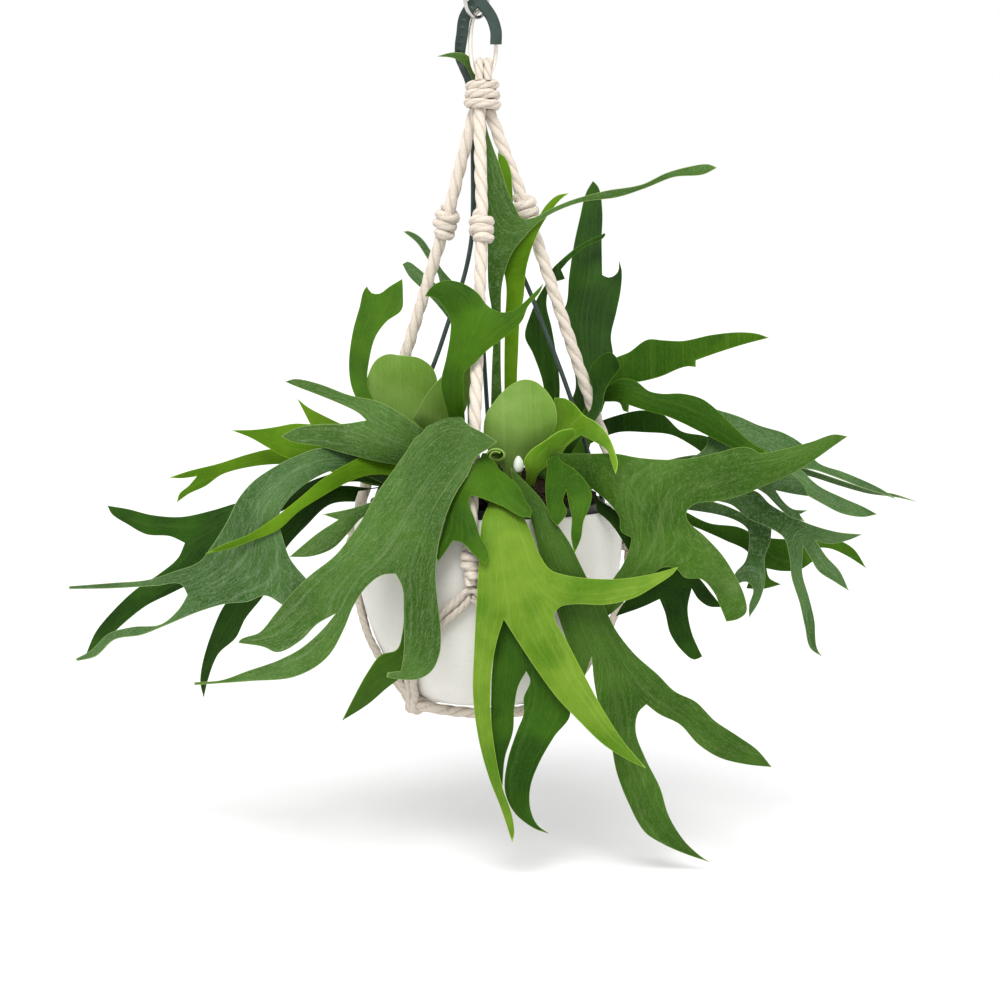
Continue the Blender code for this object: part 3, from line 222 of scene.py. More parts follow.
# ---------------------------------------------------------------- materials
class Nodes:
    """A small helper over a material's node tree."""

    def __init__(self, name):
        self.mat = bpy.data.materials.new(name)
        self.mat.use_nodes = True
        self.t = self.mat.node_tree
        self.bsdf = self.t.nodes["Principled BSDF"]
        self.obj = self.t.nodes.new("ShaderNodeTexCoord").outputs["Object"]
        attr = self.t.nodes.new("ShaderNodeAttribute")
        attr.attribute_name = "grain"
        self.grain = attr.outputs["Vector"]

    def node(self, kind, inputs, out, **settings):
        """A new node with its sockets linked or set, and the output asked for."""
        n = self.t.nodes.new("ShaderNode" + kind)
        for key, x in settings.items():
            setattr(n, key, x)
        for key, x in inputs.items():
            self.feed(n.inputs[key], x)
        return n.outputs[out]

    def feed(self, socket, x):
        if isinstance(x, bpy.types.NodeSocket):
            self.t.links.new(x, socket)
        elif isinstance(x, tuple) and socket.type == "RGBA":
            socket.default_value = (*x, 1.0)
        else:
            socket.default_value = x

    def noise(self, vec, scale, detail=3.0, rough=0.55, warp=0.0):
        return self.node("TexNoise", {"Scale": scale, "Detail": detail, "Roughness": rough,
                                      "Distortion": warp, "Vector": vec}, "Fac")

    def voronoi(self, vec, scale):
        return self.node("TexVoronoi", {"Scale": scale, "Vector": vec}, "Distance")

    def scaled(self, vec, x, y, z):
        return self.node("VectorMath", {0: vec, 1: (x, y, z)}, 0, operation="MULTIPLY")

    def plus(self, a, b):
        return self.node("VectorMath", {0: a, 1: b}, 0, operation="ADD")

    def part(self, vec, axis):
        return self.node("SeparateXYZ", {0: vec}, axis)

    def span(self, value, a, b, lo=0.0, hi=1.0):
        return self.node("MapRange", {"From Min": a, "From Max": b, "To Min": lo, "To Max": hi,
                                      "Value": value}, "Result", interpolation_type="SMOOTHSTEP")

    def mix(self, fac, a, b):
        return self.node("Mix", {0: fac, 6: a, 7: b}, 2, data_type="RGBA")

    def times(self, a, b):
        return self.node("Math", {0: a, 1: b}, 0, operation="MULTIPLY")

    def bump(self, height, distance, strength=1.0, before=None):
        inputs = {"Distance": distance, "Strength": strength, "Height": height}
        if before is not None:
            inputs["Normal"] = before
        return self.node("Bump", inputs, "Normal")

    def done(self, color, rough, normal=None, metal=0.0, **fixed):
        fixed = {"Base Color": color, "Roughness": rough, "Metallic": metal, **fixed}
        if normal is not None:
            fixed["Normal"] = normal
        for k, x in fixed.items():
            self.feed(self.bsdf.inputs[k.replace("_", " ")], x)
        return self.mat


def leaf_material(name, base, deep, pale, under, bloom, rough=0.5):
    """Leaf skin: streaks along the lobes, soft patches, woolly bloom that is partly painted sheen, a thin
    pale rim, a paler back.
    """
    m = Nodes(name)
    edge, back = m.part(m.grain, 0), m.part(m.grain, 1)
    lane = m.scaled(m.grain, 0.0, 0.0, 1.0)

    def along(size, stretch, detail, grit, warp=0.0):
        """Noise drawn out along the leaf's lobes."""
        return m.noise(m.plus(m.scaled(m.obj, size, size, size), m.scaled(lane, 0, 0, stretch)),
                       1.0, detail, grit, warp)

    vein, fine = along(11.0, 9.0, 3.0, 0.6), along(40.0, 34.0, 4.0, 0.65)
    patch = m.noise(m.obj, 17.0, 3.0)
    mottle = m.noise(m.obj, 95.0, 4.0, 0.6)
    # pale woolly bloom along the lobes, partly the leaves' real bloom and partly painted sheen
    wool_and_sheen = along(330.0, 30.0, 4.0, 0.7, 1.2)
    speck = m.noise(m.obj, 760.0, 2.0, 0.7)
    col = m.mix(m.span(patch, 0.36, 0.64), deep, base)
    col = m.mix(m.times(m.span(mottle, 0.45, 0.7), 0.2 + 0.5 * bloom), col, deep)
    for tex, hi, share in ((vein, 0.72, 0.14 + 0.12 * bloom), (fine, 0.74, 0.16 + bloom * 0.2),
                           (wool_and_sheen, 0.62, 0.05 + bloom * 0.65), (speck, 0.72, 0.1 + bloom * 0.4)):
        col = m.mix(m.times(m.span(tex, 0.5, hi), share), col, pale)
    col = m.mix(m.times(back, 0.7), col, under)
    col = m.mix(m.span(edge, 0.1, 0.62, 0.6, 0.0), col, (pale[0] * 1.15, pale[1] * 1.25, pale[2] * 0.75))
    nrm = m.bump(fine, 0.0005, 0.35)
    nrm = m.bump(vein, 0.0018, 0.35, nrm)
    nrm = m.bump(wool_and_sheen, 0.00025, 0.5, nrm)
    return m.done(col, m.span(speck, 0.3, 0.7, rough - 0.07, rough + 0.12), nrm, Specular_IOR_Level=0.07)


def rope_material(name, base, shade):
    """Cotton: fibres along the plies, tufts, and painted shade darkening the grooves between the plies."""
    m = Nodes(name)
    fibre = m.noise(m.scaled(m.grain, 5.5, 0.35, 0.0), 1.0, 3.0, 0.6)
    tuft = m.noise(m.obj, 420.0, 3.0, 0.6)
    groove_shade = m.span(m.part(m.grain, 2), 0.76, 0.89, 1.0, 0.0)
    col = m.mix(m.span(fibre, 0.35, 0.7), tuple(c * 0.86 for c in base), base)
    col = m.mix(m.times(m.span(tuft, 0.5, 0.75), 0.35), col, tuple(min(1.0, c * 1.12) for c in base))
    # painted shade: the grooves between the plies are mixed towards the shade colour
    col = m.mix(m.times(groove_shade, 0.75), col, shade)
    nrm = m.bump(fibre, 0.0009, 0.75)
    nrm = m.bump(tuft, 0.0004, 0.6, nrm)
    return m.done(col, 0.92, nrm, Sheen_Weight=0.15)


def plain_material(name, base, other, scale, rough, grit, metal=0.0, spread=0.06, **fixed):
    """Cast, moulded, drawn or glazed stuff: soft colour variation, fine grit and varied gloss."""
    m = Nodes(name)
    big, small = m.noise(m.obj, scale, 4.0), m.noise(m.obj, scale * 14.0, 3.0)
    col = m.mix(m.span(big, 0.35, 0.68), base, other)
    col = m.mix(m.times(m.span(small, 0.6, 0.75), 0.3), col, tuple(c * 0.72 for c in base))
    nrm = m.bump(small, grit, 0.5)
    return m.done(col, m.span(small, 0.3, 0.7, rough - spread, rough + spread), nrm, metal, **fixed)


def soil_material(name, base, chip, light):
    """Damp crumbs with darker hollows and a few pale chips."""
    m = Nodes(name)
    grit = m.noise(m.obj, 330.0, 4.0, 0.7)
    lump = m.voronoi(m.obj, 260.0)
    big = m.noise(m.obj, 60.0, 3.0)
    col = m.mix(m.span(grit, 0.4, 0.62), base, chip)
    col = m.mix(m.times(m.span(big, 0.5, 0.7), 0.6), col, tuple(c * 0.5 for c in base))
    col = m.mix(m.times(m.span(grit, 0.66, 0.74), 0.7), col, light)
    nrm = m.bump(grit, 0.0016, 0.8)
    nrm = m.bump(lump, 0.0014, 0.6, nrm)
    return m.done(col, 0.95, nrm, Specular_IOR_Level=0.1)


# ---------------------------------------------------------------- leaves
LEAF_KINDS = (
    # kind, slot, material, base, deep, pale, under, bloom, rough
    ("lime", "frond_lime", "leaf_lime", (0.132, 0.232, 0.016), (0.060, 0.150, 0.004),
     (0.250, 0.350, 0.085), (0.20, 0.33, 0.05), 0.08, 0.5),
    ("bright", "frond_lime", "leaf_bright", (0.088, 0.192, 0.004), (0.046, 0.122, 0.001),
     (0.170, 0.275, 0.022), (0.15, 0.27, 0.02), 0.08, 0.5),
    ("green", "frond_green", "leaf_green", (0.048, 0.120, 0.013), (0.024, 0.072, 0.004),
     (0.220, 0.290, 0.150), (0.11, 0.20, 0.045), 0.33, 0.5),
    ("rich", "frond_green", "leaf_rich", (0.040, 0.112, 0.002), (0.016, 0.060, 0.001),
     (0.105, 0.190, 0.022), (0.09, 0.19, 0.02), 0.12, 0.5),
    ("soft", "frond_green", "leaf_soft", (0.040, 0.106, 0.007), (0.020, 0.064, 0.003),
     (0.160, 0.230, 0.080), (0.10, 0.19, 0.035), 0.26, 0.5),
    ("grey", "frond_bloom", "leaf_bloom", (0.050, 0.118, 0.024), (0.024, 0.070, 0.010),
     (0.215, 0.285, 0.175), (0.13, 0.20, 0.075), 0.38, 0.5),
    # dark and shade: darker greens for fronds and lobes that lie in shade, which is painted shade
    ("dark", "frond_dark", "leaf_dark", (0.016, 0.058, 0.002), (0.006, 0.026, 0.001),
     (0.065, 0.130, 0.024), (0.055, 0.13, 0.015), 0.1, 0.5),
    ("shade", "frond_dark", "leaf_shade", (0.027, 0.086, 0.003), (0.010, 0.042, 0.001),
     (0.090, 0.170, 0.032), (0.07, 0.16, 0.018), 0.1, 0.5),
    ("pale", "shield_pale", "leaf_shield", (0.160, 0.265, 0.055), (0.100, 0.200, 0.022),
     (0.250, 0.350, 0.125), (0.19, 0.29, 0.06), 0.1, 0.48),
    ("lip", "shield_pale", "leaf_lip", (0.170, 0.315, 0.016), (0.085, 0.220, 0.006),
     (0.300, 0.430, 0.100), (0.07, 0.16, 0.01), 0.06, 0.45),
)
LEAVES = {kind: (leaf_material(*look), slot) for kind, slot, *look in LEAF_KINDS}
LEAF_STEP = 4.6   # spacing of the points inside a leaf
RIM_INSET = 0.95                         # the ring of points that keeps the pale rim narrow
LEAF_THICK, THIN_EDGE = 0.85, 1.5        # half as thick at the rim as THIN_EDGE inside it
CUP_REACH, STALK_LIFT = 11.0, 1.0        # how far in a leaf curves, how far stalks clear the soil
TIP_BEND, TIP_WINDOW = math.radians(112), 6.0
STALK_FOOT = (12.0, -365.0)              # where most stalks start, as seen
ROOTS = {"frond_front_left": (-30, -268), "frond_pot_front": (-1, -324)}


def thin_plate(marks):
    """y(u, v) through the (u, v, y) marks, for arrays."""
    m = np.array(marks, float)
    n = len(m)
    k = np.zeros((n + 3, n + 3))
    d = np.hypot(m[:, None, 0] - m[None, :, 0], m[:, None, 1] - m[None, :, 1])
    k[:n, :n] = np.where(d > 0, d * d * np.log(np.maximum(d, 1e-9)), 0.0) + np.eye(n) * 8.0
    k[:n, n] = 1.0
    k[:n, n + 1:] = m[:, :2]
    k[n, :n] = 1.0
    k[n + 1:, :n] = m[:, :2].T
    w = np.linalg.solve(k, np.concatenate([m[:, 2], np.zeros(3)]))

    def y_at(u, v):
        r = np.hypot(m[:, 0] - np.asarray(u)[:, None], m[:, 1] - np.asarray(v)[:, None])
        return (r * r * np.log(np.maximum(r, 1e-9))) @ w[:n] + w[n] + w[n + 1] * u + w[n + 2] * v
    return y_at


def ground(p):
    """The height a stalk stays above at each point, and the point's reach from the bowl axis."""
    reach = np.hypot(p[:, 0] - AXIS_X, p[:, 1])
    r = np.hypot(p[:, 0] - CROWN_X, p[:, 1] - CROWN_Y) / CROWN_R
    level = np.interp(reach, [74, 82, 83, 89.5, 90.5, BOWL_RIM_REACH],
                      [SOIL_Z, SOIL_Z - 3, SOIL_Z - 6, SOIL_Z - 6.5, SOIL_Z - 12, SOIL_Z - 12])
    level = np.maximum(level, SOIL_Z + 2.0 * (1.3 - r) / 0.3)
    return np.where(r < 1, SOIL_Z + 2.0 + (CROWN_H - 2.0) * (1 - r * r), level), reach


def soft_outline(poly, step=2.6, corner=62, ease=0.95):
    """The outline with its curves rounded out; turns sharper than corner degrees are kept."""
    p = np.array(poly, float)
    p = p[np.linalg.norm(p - np.roll(p, 1, 0), axis=1) > 0.3]
    n = len(p)
    fwd = np.roll(p, -1, 0) - p
    size = np.linalg.norm(fwd, axis=1)
    unit = fwd / size[:, None]
    before = np.roll(unit, 1, 0)
    turn = np.degrees(np.arccos(np.clip((unit * before).sum(1), -1, 1)))
    mean = unit + before
    mean /= np.maximum(np.linalg.norm(mean, axis=1), 1e-6)[:, None]
    out = []
    for i in range(n):
        j = (i + 1) % n
        ta = mean[i] if turn[i] < corner else unit[i]
        tb = mean[j] if turn[j] < corner else unit[i]
        pull = size[i] * ease
        m = max(1, int(round(size[i] / step)))
        for k in range(m):
            t = k / m
            out.append((2 * t ** 3 - 3 * t * t + 1) * p[i] + (t ** 3 - 2 * t * t + t) * pull * ta
                       + (3 * t * t - 2 * t ** 3) * p[j] + (t ** 3 - t * t) * pull * tb)
    return np.array(out)


def within(poly, q):
    """Which of the points q are inside the outline."""
    hit = np.zeros(len(q), bool)
    for (u0, v0), (u1, v1) in zip(poly, np.roll(poly, -1, 0)):
        if v0 != v1:
            side = q[:, 0] < (u1 - u0) * (q[:, 1] - v0) / (v1 - v0) + u0
            hit ^= ((v0 > q[:, 1]) != (v1 > q[:, 1])) & side
    return hit


def rim_distance(poly, q):
    """How far each of the points q is from the outline."""
    best = np.full(len(q), 1e9)
    for (u0, v0), (u1, v1) in zip(poly, np.roll(poly, -1, 0)):
        du, dv = u1 - u0, v1 - v0
        t = np.clip(((q[:, 0] - u0) * du + (q[:, 1] - v0) * dv) / max(du * du + dv * dv, 1e-9), 0, 1)
        best = np.minimum(best, np.hypot(q[:, 0] - u0 - t * du, q[:, 1] - v0 - t * dv))
    return best


def turns_left(rim):
    """Whether the outline runs anticlockwise."""
    after = np.roll(rim, -1, 0)
    return (rim[:, 0] * after[:, 1] - after[:, 0] * rim[:, 1]).sum() > 0


def inset(rim, by):
    """Points just inside the rim, so that its pale line stays narrow."""
    go = np.roll(rim, -1, 0) - np.roll(rim, 1, 0)
    go /= np.maximum(np.linalg.norm(go, axis=1), 1e-6)[:, None]
    q = rim + np.stack([-go[:, 1], go[:, 0]], 1) * (by if turns_left(rim) else -by)
    q = q[within(rim, q)]
    return q[rim_distance(rim, q) > 0.8 * by]


def lanes(rim, flat, tris, root):
    """A smooth number over the leaf that is level along its lobes, from the stalk to each tip."""
    n = len(rim)
    seg = np.roll(rim, -1, 0) - rim
    size = np.linalg.norm(seg, axis=1)
    head = np.arctan2(seg[:, 1], seg[:, 0])
    turn = (head - np.roll(head, 1) + np.pi) % (2 * np.pi) - np.pi
    if not turns_left(rim):
        turn = -turn
    s = np.concatenate([[0.0], np.cumsum(size)[:-1]])
    total = size.sum()
    gap = np.abs((s[:, None] - s[None, :] + total / 2) % total - total / 2)
    bend = (gap < TIP_WINDOW) @ turn
    ends = []
    for i in np.argsort(-bend):
        if bend[i] > TIP_BEND and all(gap[i, k] > 2 * TIP_WINDOW for k in ends):
            ends.append(int(i))
    if len(ends) < 2:
        return flat[:, 0] * 0.03
    stalk = min(ends, key=lambda i: np.hypot(*(rim[i] - root)))
    order = sorted((i - stalk) % n for i in ends)
    level = np.zeros(n)
    for k, i in enumerate(order):
        last = order[k + 1] if k + 1 < len(order) else n
        level[[(stalk + j) % n for j in range(i, last)]] = k
    count = len(flat)
    known = np.arange(count) < n
    near = np.zeros((count, count), bool)
    for p, q in ((0, 1), (1, 2), (2, 0)):
        near[tris[:, p], tris[:, q]] = near[tris[:, q], tris[:, p]] = True
    value = np.zeros(count)
    value[:n] = level
    inner = np.flatnonzero(~known & near.any(1))
    if len(inner):
        w = near[np.ix_(inner, inner)].astype(float)
        lap = np.diag(near[inner].sum(1).astype(float)) - w
        value[inner] = np.linalg.solve(lap, near[np.ix_(inner, np.flatnonzero(known))] @ level)
    return value


def spread_points(rim):
    """Staggered rows of points inside the outline, and the ring just inside its rim."""
    lo, hi = rim.min(0), rim.max(0)
    rows = []
    for k, v in enumerate(np.arange(lo[1] + 0.5 * LEAF_STEP, hi[1], LEAF_STEP * 0.87)):
        us = np.arange(lo[0] + (0.5 * LEAF_STEP if k % 2 else 0.0), hi[0], LEAF_STEP)
        rows.append(np.stack([us, np.full(len(us), v)], 1))
    q = np.concatenate(rows)
    q = q[within(rim, q)]
    q = q[rim_distance(rim, q) > 0.62 * LEAF_STEP]
    return np.concatenate([q, inset(rim, RIM_INSET)])


def flat_mesh(rim):
    """The leaf's outline filled with triangles that all face the viewer."""
    pts = [Vector((float(a), float(b))) for a, b in np.concatenate([rim, spread_points(rim)])]
    n = len(rim)
    got = delaunay_2d_cdt(pts, [(i, (i + 1) % n) for i in range(n)], [list(range(n))], 1, 1e-3)
    flat = np.array([(p.x, p.y) for p in got[0]])
    tris = []
    for f in got[2]:
        a, b, c = (flat[i] for i in f[:3])
        area = (b[0] - a[0]) * (c[1] - a[1]) - (b[1] - a[1]) * (c[0] - a[0])
        tris.append(tuple(f[:3]) if area > 0 else (f[0], f[2], f[1]))
    return flat, np.array(tris)


def steady_number(name):
    """A small number that is always the same for a name."""
    total = 0
    for c in name:
        total = (total * 31 + ord(c)) % 9973
    return total


def leaf(name, outline, marks, kind, fold=None, cup=0.1, wave=0.7):
    """One fine leaf over its CAD sheet: rounded outline, smooth depth, a slight crown and waves.

    fold is the line it folds back over, the radius of the bend and the lean of what hangs behind.
    """
    rim = soft_outline(outline)
    flat, tris = flat_mesh(rim)
    edge = rim_distance(rim, flat)
    u, v = flat[:, 0].copy(), flat[:, 1].copy()
    y_at = thin_plate(marks)
    y = y_at(u, v)
    if fold:
        line, r, lean = fold
        line = curve([(a, 0.0, b) for a, b in line], 1.5)
        ridge = np.interp(u, line[:, 0], line[:, 2])
        d = np.maximum(v - ridge, 0.0)
        turn = np.minimum(d / r, np.pi)
        back = np.maximum(0.0, d - np.pi * r)
        bent = d > 0
        y = np.where(bent, y_at(u, np.minimum(v, ridge)) + r * (1 - np.cos(turn)) + lean * back, y)
        v = np.where(bent, ridge + r * np.sin(turn) - back, v)
    ph = (steady_number(name) % 100) / 16.0
    y = y - cup * np.minimum(edge, CUP_REACH) + wave * np.sin(u / 13.0 + ph) * np.sin(v / 17.0 + 2 * ph)
    p = seen(u, v, y)
    floor, reach = ground(p)
    low = (reach < BOWL_RIM_REACH) & (p[:, 2] > SOIL_Z - 40) & (p[:, 2] < floor + STALK_LIFT)
    p[low, 2] = floor[low] + STALK_LIFT
    normal = np.zeros_like(p)
    fn = np.cross(p[tris[:, 1]] - p[tris[:, 0]], p[tris[:, 2]] - p[tris[:, 0]])
    for k in range(3):
        np.add.at(normal, tris[:, k], fn)
    normal /= np.maximum(np.linalg.norm(normal, axis=1), 1e-9)[:, None]
    taper = (0.5 + 0.5 * np.clip(edge / THIN_EDGE, 0, 1))[:, None] * LEAF_THICK / 2
    count = len(p)
    used = set()
    for a, b, c in tris:
        used.update([(a, b), (b, c), (c, a)])
    faces = [tuple(t) for t in tris] + [(c + count, b + count, a + count) for a, b, c in tris]
    faces += [(b, a, a + count, b + count) for a, b in used if (b, a) not in used]
    lane = lanes(rim, flat, tris, np.array(ROOTS.get(name, STALK_FOOT)))
    zero = np.zeros(count)
    grain = np.concatenate([np.stack([edge, zero, lane], 1), np.stack([edge, zero + 1, lane], 1)])
    out = Mesh()
    out.add(np.concatenate([p + normal * taper, p - normal * taper]), faces, grain)
    mat, slot = LEAVES[kind]
    out.make("leaf_" + name, name, mat, sharp=70)


# Each leaf: outline (u, v) as seen, depth marks (u, v, y), kind of skin.


leaf("frond_front_left", [
    (-52, -338), (-46, -333), (-40, -305), (-36, -268), (-24, -268), (-22, -305), (-14, -327), (-2, -334),
    (9, -341), (3, -346), (-6, -352), (-13, -366), (-23, -382), (-30, -399), (-34, -414), (-37, -440),
    (-35, -465), (-33, -485), (-34, -500), (-40, -513), (-50, -519), (-66, -519), (-74, -517.5),
    (-73, -514), (-63, -513), (-61, -500), (-61, -470), (-62, -450), (-67, -440), (-77, -441), (-88, -449),
    (-98, -463), (-106, -482), (-116, -500), (-127, -510), (-145, -518), (-175, -520.5), (-218, -523.5),
    (-218, -521.5), (-198, -520), (-178, -513), (-155, -505), (-138, -496), (-122, -482), (-112, -470),
    (-126, -478), (-138, -490), (-156, -499), (-166, -495), (-185, -492), (-184, -490), (-169, -484),
    (-158, -471), (-146, -456), (-132, -442), (-112, -426), (-100, -411), (-90, -396), (-82, -381),
    (-72, -367), (-60, -350)],
    [(-52, -338, -80), (-14, -327, -96), (9, -341, -100), (-45, -365, -102), (-12, -360, -108),
     (-34, -408, -123), (-60, -390, -112), (-50, -420, -119), (-48, -515, -112), (-90, -420, -110),
     (-110, -450, -108), (-185, -491, -78), (-218, -522, -112), (-125, -500, -102)], "green",
     fold=([(-60, -345), (-50, -338), (-30, -329), (-14, -328), (0, -334), (9, -343)], 5.0, 1.15))
leaf("frond_front_lime", [
    (6.5, -369), (11, -369), (17, -380), (28, -396), (34, -408), (40, -424), (49, -437), (60, -441),
    (78, -443.5), (100, -444), (122, -441), (145, -435), (141, -440), (128, -449), (112, -458), (92, -463),
    (65, -463), (56, -465), (52, -471), (60, -488), (74, -515), (88, -541), (104, -566), (121, -586),
    (110, -581), (90, -569), (70, -550), (54, -533), (40, -514), (26, -493), (14, -474), (9, -490),
    (5, -512), (4, -540), (7, -570), (13, -600), (20, -620), (22, -634), (20.5, -642), (18, -634),
    (12, -616), (3, -593), (-5, -563), (-9, -530), (-8, -495), (-6, -455), (-4, -425), (-2, -400),
    (5, -382)],
    [(9, -369, -47), (10, -380, -93), (14, -396, -112), (16, -425, -121), (-3, -410, -118.5),
     (-4, -430, -121), (42, -432, -117), (12, -465, -122), (-2, -520, -119), (5, -580, -114),
     (21, -641, -104), (60, -500, -116), (120, -585, -124), (80, -453, -112), (145, -436, -98)], "lime")
leaf("frond_pot_front", [
    (-7, -356), (-3.5, -353), (-3, -324), (1.5, -324), (3, -353), (8, -357), (10, -361), (16, -366),
    (26, -376), (30, -385), (35, -393), (34, -398), (27, -397), (14, -390), (2, -385), (-10, -381),
    (-12, -386), (-8, -398), (-4, -411), (3, -427), (0, -433), (-8, -426), (-17, -417), (-24, -415),
    (-30, -424), (-35, -431), (-37, -424), (-33, -412), (-29, -398), (-23, -383), (-17, -374), (-11, -364)],
    [(-7, -358, -101.5), (6, -357, -92), (6, -370, -103), (-8, -378, -112), (-20, -385, -111),
     (8, -388, -114), (-8, -400, -120), (34, -396, -115), (0, -430, -129), (-34, -428, -119)], "rich",
     fold=([(-8, -353.5), (2, -353.5), (12, -356)], 3.5, 1.3))
leaf("frond_front_right", [
    (36, -374), (40, -358), (50, -350), (62, -350), (78, -350), (98, -350), (115, -353), (135, -354.5),
    (155, -353.5), (175, -349), (192, -345), (200, -346), (206, -349.5), (222, -347), (245, -341),
    (262, -335.5), (272, -337), (262, -344), (248, -354), (232, -364), (212, -373), (190, -382),
    (172, -386), (158, -387.5), (151, -394), (152, -400), (164, -411), (178, -426), (188, -442),
    (195, -458), (196, -469), (190, -474), (181, -476), (177, -466), (171, -453), (162, -444), (150, -443),
    (143, -436), (133, -435.5), (126, -440), (113, -452), (97, -468), (79, -480), (83, -466), (90, -454),
    (96, -444), (103, -434), (109, -419), (110, -413), (102, -408), (101, -398), (92, -386), (80, -376),
    (68, -366), (54, -360), (45, -374)],
    [(40, -373, -22), (46, -356, -30), (70, -358, -52), (95, -375, -80), (105, -430, -86), (82, -476, -84),
     (150, -370, -88), (188, -470, -92), (205, -362, -98), (270, -337, -110), (155, -440, -92)], "soft")
leaf("frond_low_right", [
    (19, -360), (30, -371), (42, -384), (52, -400), (63, -416), (71, -432), (78, -446), (88, -462),
    (98, -482), (112, -500), (130, -516), (142, -528), (158, -536), (172, -550), (190, -562), (204, -572),
    (215, -585), (196, -583), (176, -578), (160, -568), (146, -553), (130, -545), (121, -538), (115, -544),
    (113, -558), (121, -580), (131, -600), (138, -622), (150, -641), (162, -652), (169, -656.5),
    (150, -650), (134, -643), (120, -634), (108, -613), (99, -590), (94, -566), (86, -542), (82, -522),
    (80, -502), (75, -517), (66, -502), (57, -478), (50, -455), (42, -430), (36, -405), (30, -387),
    (22, -374)],
    [(20, -364, -55), (30, -376, -82), (44, -396, -104), (60, -430, -104), (75, -470, -96),
     (76, -515, -92), (110, -520, -88), (130, -545, -84), (214, -584, -50), (120, -600, -84),
     (168, -656, -66)], "soft")
leaf("frond_low_dark", [
    (-8, -376), (2, -374), (12, -384), (22, -404), (28, -425), (37, -455), (44, -495), (52, -520),
    (64, -545), (52, -562), (41, -581), (34, -600), (34, -616), (39, -628), (48, -635), (37, -631),
    (22, -619), (15, -603), (17, -580), (24, -558), (29, -545), (29, -533), (34, -520), (31, -513),
    (25, -524), (22, -540), (21, -558), (15, -578), (13, -600), (8, -588), (5, -560), (5, -520), (8, -485),
    (9, -440), (7, -410), (0, -392)],
    [(-3, -376, -48), (5, -382, -82), (8, -388, -92), (8, -396, -101), (14, -402, -103.5),
     (8, -415, -105.5), (22, -430, -107.5), (24, -455, -110.5), (26, -500, -111), (14, -590, -106),
     (48, -634, -100), (50, -520, -106), (50, -550, -104)], "shade")
leaf("frond_olive_right", [
    (48, -374), (66, -376), (84, -384), (100, -394), (113, -404), (128, -420), (142, -434), (158, -441),
    (170, -455), (178, -465), (168, -464.5), (160, -459), (155, -451), (152, -466), (155, -484),
    (160, -496), (163, -502), (157, -504.5), (148, -498), (139, -485), (135, -469), (131, -459),
    (118, -465), (98, -472), (104, -462), (118, -448), (106, -420), (92, -400), (78, -390), (62, -383),
    (46, -381)],
    [(49, -378, -28), (66, -380, -42), (84, -390, -60), (104, -406, -64), (125, -435, -62),
     (100, -471, -56), (160, -500, -60), (175, -464, -64)], "dark")
leaf("frond_right_fork", [
    (58, -370), (100, -366), (150, -374), (170, -377), (190, -379), (203, -378), (214, -388), (232, -398),
    (250, -405), (266, -409), (283, -410.5), (272, -415), (258, -417.5), (248, -415), (256, -427),
    (266, -438), (273, -453), (262, -446), (250, -438), (244, -428), (238.5, -419), (238, -440),
    (243, -458), (247, -475), (249, -496), (253, -502.5), (244, -496), (240, -480), (236, -462),
    (230, -443), (228, -426), (224, -413), (212, -405), (198, -399), (184, -388), (150, -384), (100, -376),
    (58, -379)],
    [(59, -374, -20), (100, -371, -48), (152, -380, -62), (200, -390, -62), (245, -408, -56),
     (282, -411, -36), (272, -452, -30), (252, -501, -40), (238, -450, -46)], "grey")
leaf("frond_right_drop", [
    (58, -372), (100, -372), (140, -380), (178, -388), (192, -394), (206, -401), (215, -405), (214, -416),
    (210, -427), (210, -446), (206, -460), (198, -473), (198, -464), (201, -451), (196, -446), (188, -448),
    (187, -441), (195, -431), (198, -418), (197, -407), (188, -400), (140, -390), (100, -381), (58, -381)],
    [(59, -376, -8), (100, -376, -34), (180, -393, -50), (205, -410, -43), (200, -470, -38),
     (188, -445, -42)], "grey")
leaf("frond_right_under", [
    (56, -371), (100, -374), (140, -388), (168, -402), (190, -405), (206, -412), (224, -414), (244, -414),
    (262, -414), (276, -421), (286, -436), (272, -427), (258, -421), (240, -421), (247, -430), (236, -437),
    (222, -438), (211, -436), (213, -443), (222, -448), (208, -451.5), (196, -451), (200, -438),
    (198, -425), (180, -415), (140, -398), (100, -383), (56, -379)],
    [(57, -375, 4), (100, -379, -20), (170, -408, -34), (205, -420, -24), (246, -430, -8), (285, -435, 10),
     (205, -448, -24)], "rich")
leaf("frond_right_grey", [
    (60, -369), (110, -358), (148, -356), (166, -344), (168, -326), (174, -317), (190, -322), (206, -329),
    (224, -334.5), (238, -343), (250, -357), (268, -363.5), (286, -371), (298, -377), (308, -384),
    (297, -380), (282, -375), (264, -368), (246, -362), (236, -361), (250, -374), (268, -383), (284, -390),
    (294, -395.5), (284, -397.5), (268, -395), (252, -387), (238, -379), (220, -366), (204, -352),
    (188, -352), (160, -363), (110, -367), (60, -377)],
    [(61, -373, 14), (82, -368, 10.5), (104, -362, 5), (120, -360, 0), (180, -328, -2), (230, -355, -8),
     (305, -383, 26), (292, -396, 4)], "grey")
leaf("frond_right_thin", [
    (58, -368), (110, -362), (150, -352), (176, -350), (200, -352), (228, -358), (246, -363), (270, -371),
    (290, -377.5), (306, -380), (324, -386), (308, -382.5), (288, -380), (266, -374), (244, -367),
    (226, -363), (200, -358), (176, -357), (150, -361), (110, -370), (58, -376)],
    [(59, -372, 36), (104, -366, 30), (150, -356, 22), (178, -353, 16), (235, -362, 10),
     (322, -386, 46)], "grey")
leaf("frond_right_small", [
    (60, -369), (110, -362), (150, -360), (186, -364), (206, -363), (228, -364), (237, -371), (243, -382),
    (230, -380), (218, -377.5), (224, -386), (231, -391.5), (242, -392.5), (236, -395.5), (240, -401),
    (228, -397), (219, -389), (210, -380), (196, -373), (150, -369), (110, -371), (60, -378)],
    [(61, -374, -32), (110, -367, -62), (188, -370, -74), (220, -372, -74), (242, -382, -72),
     (238, -396, -70)], "grey")
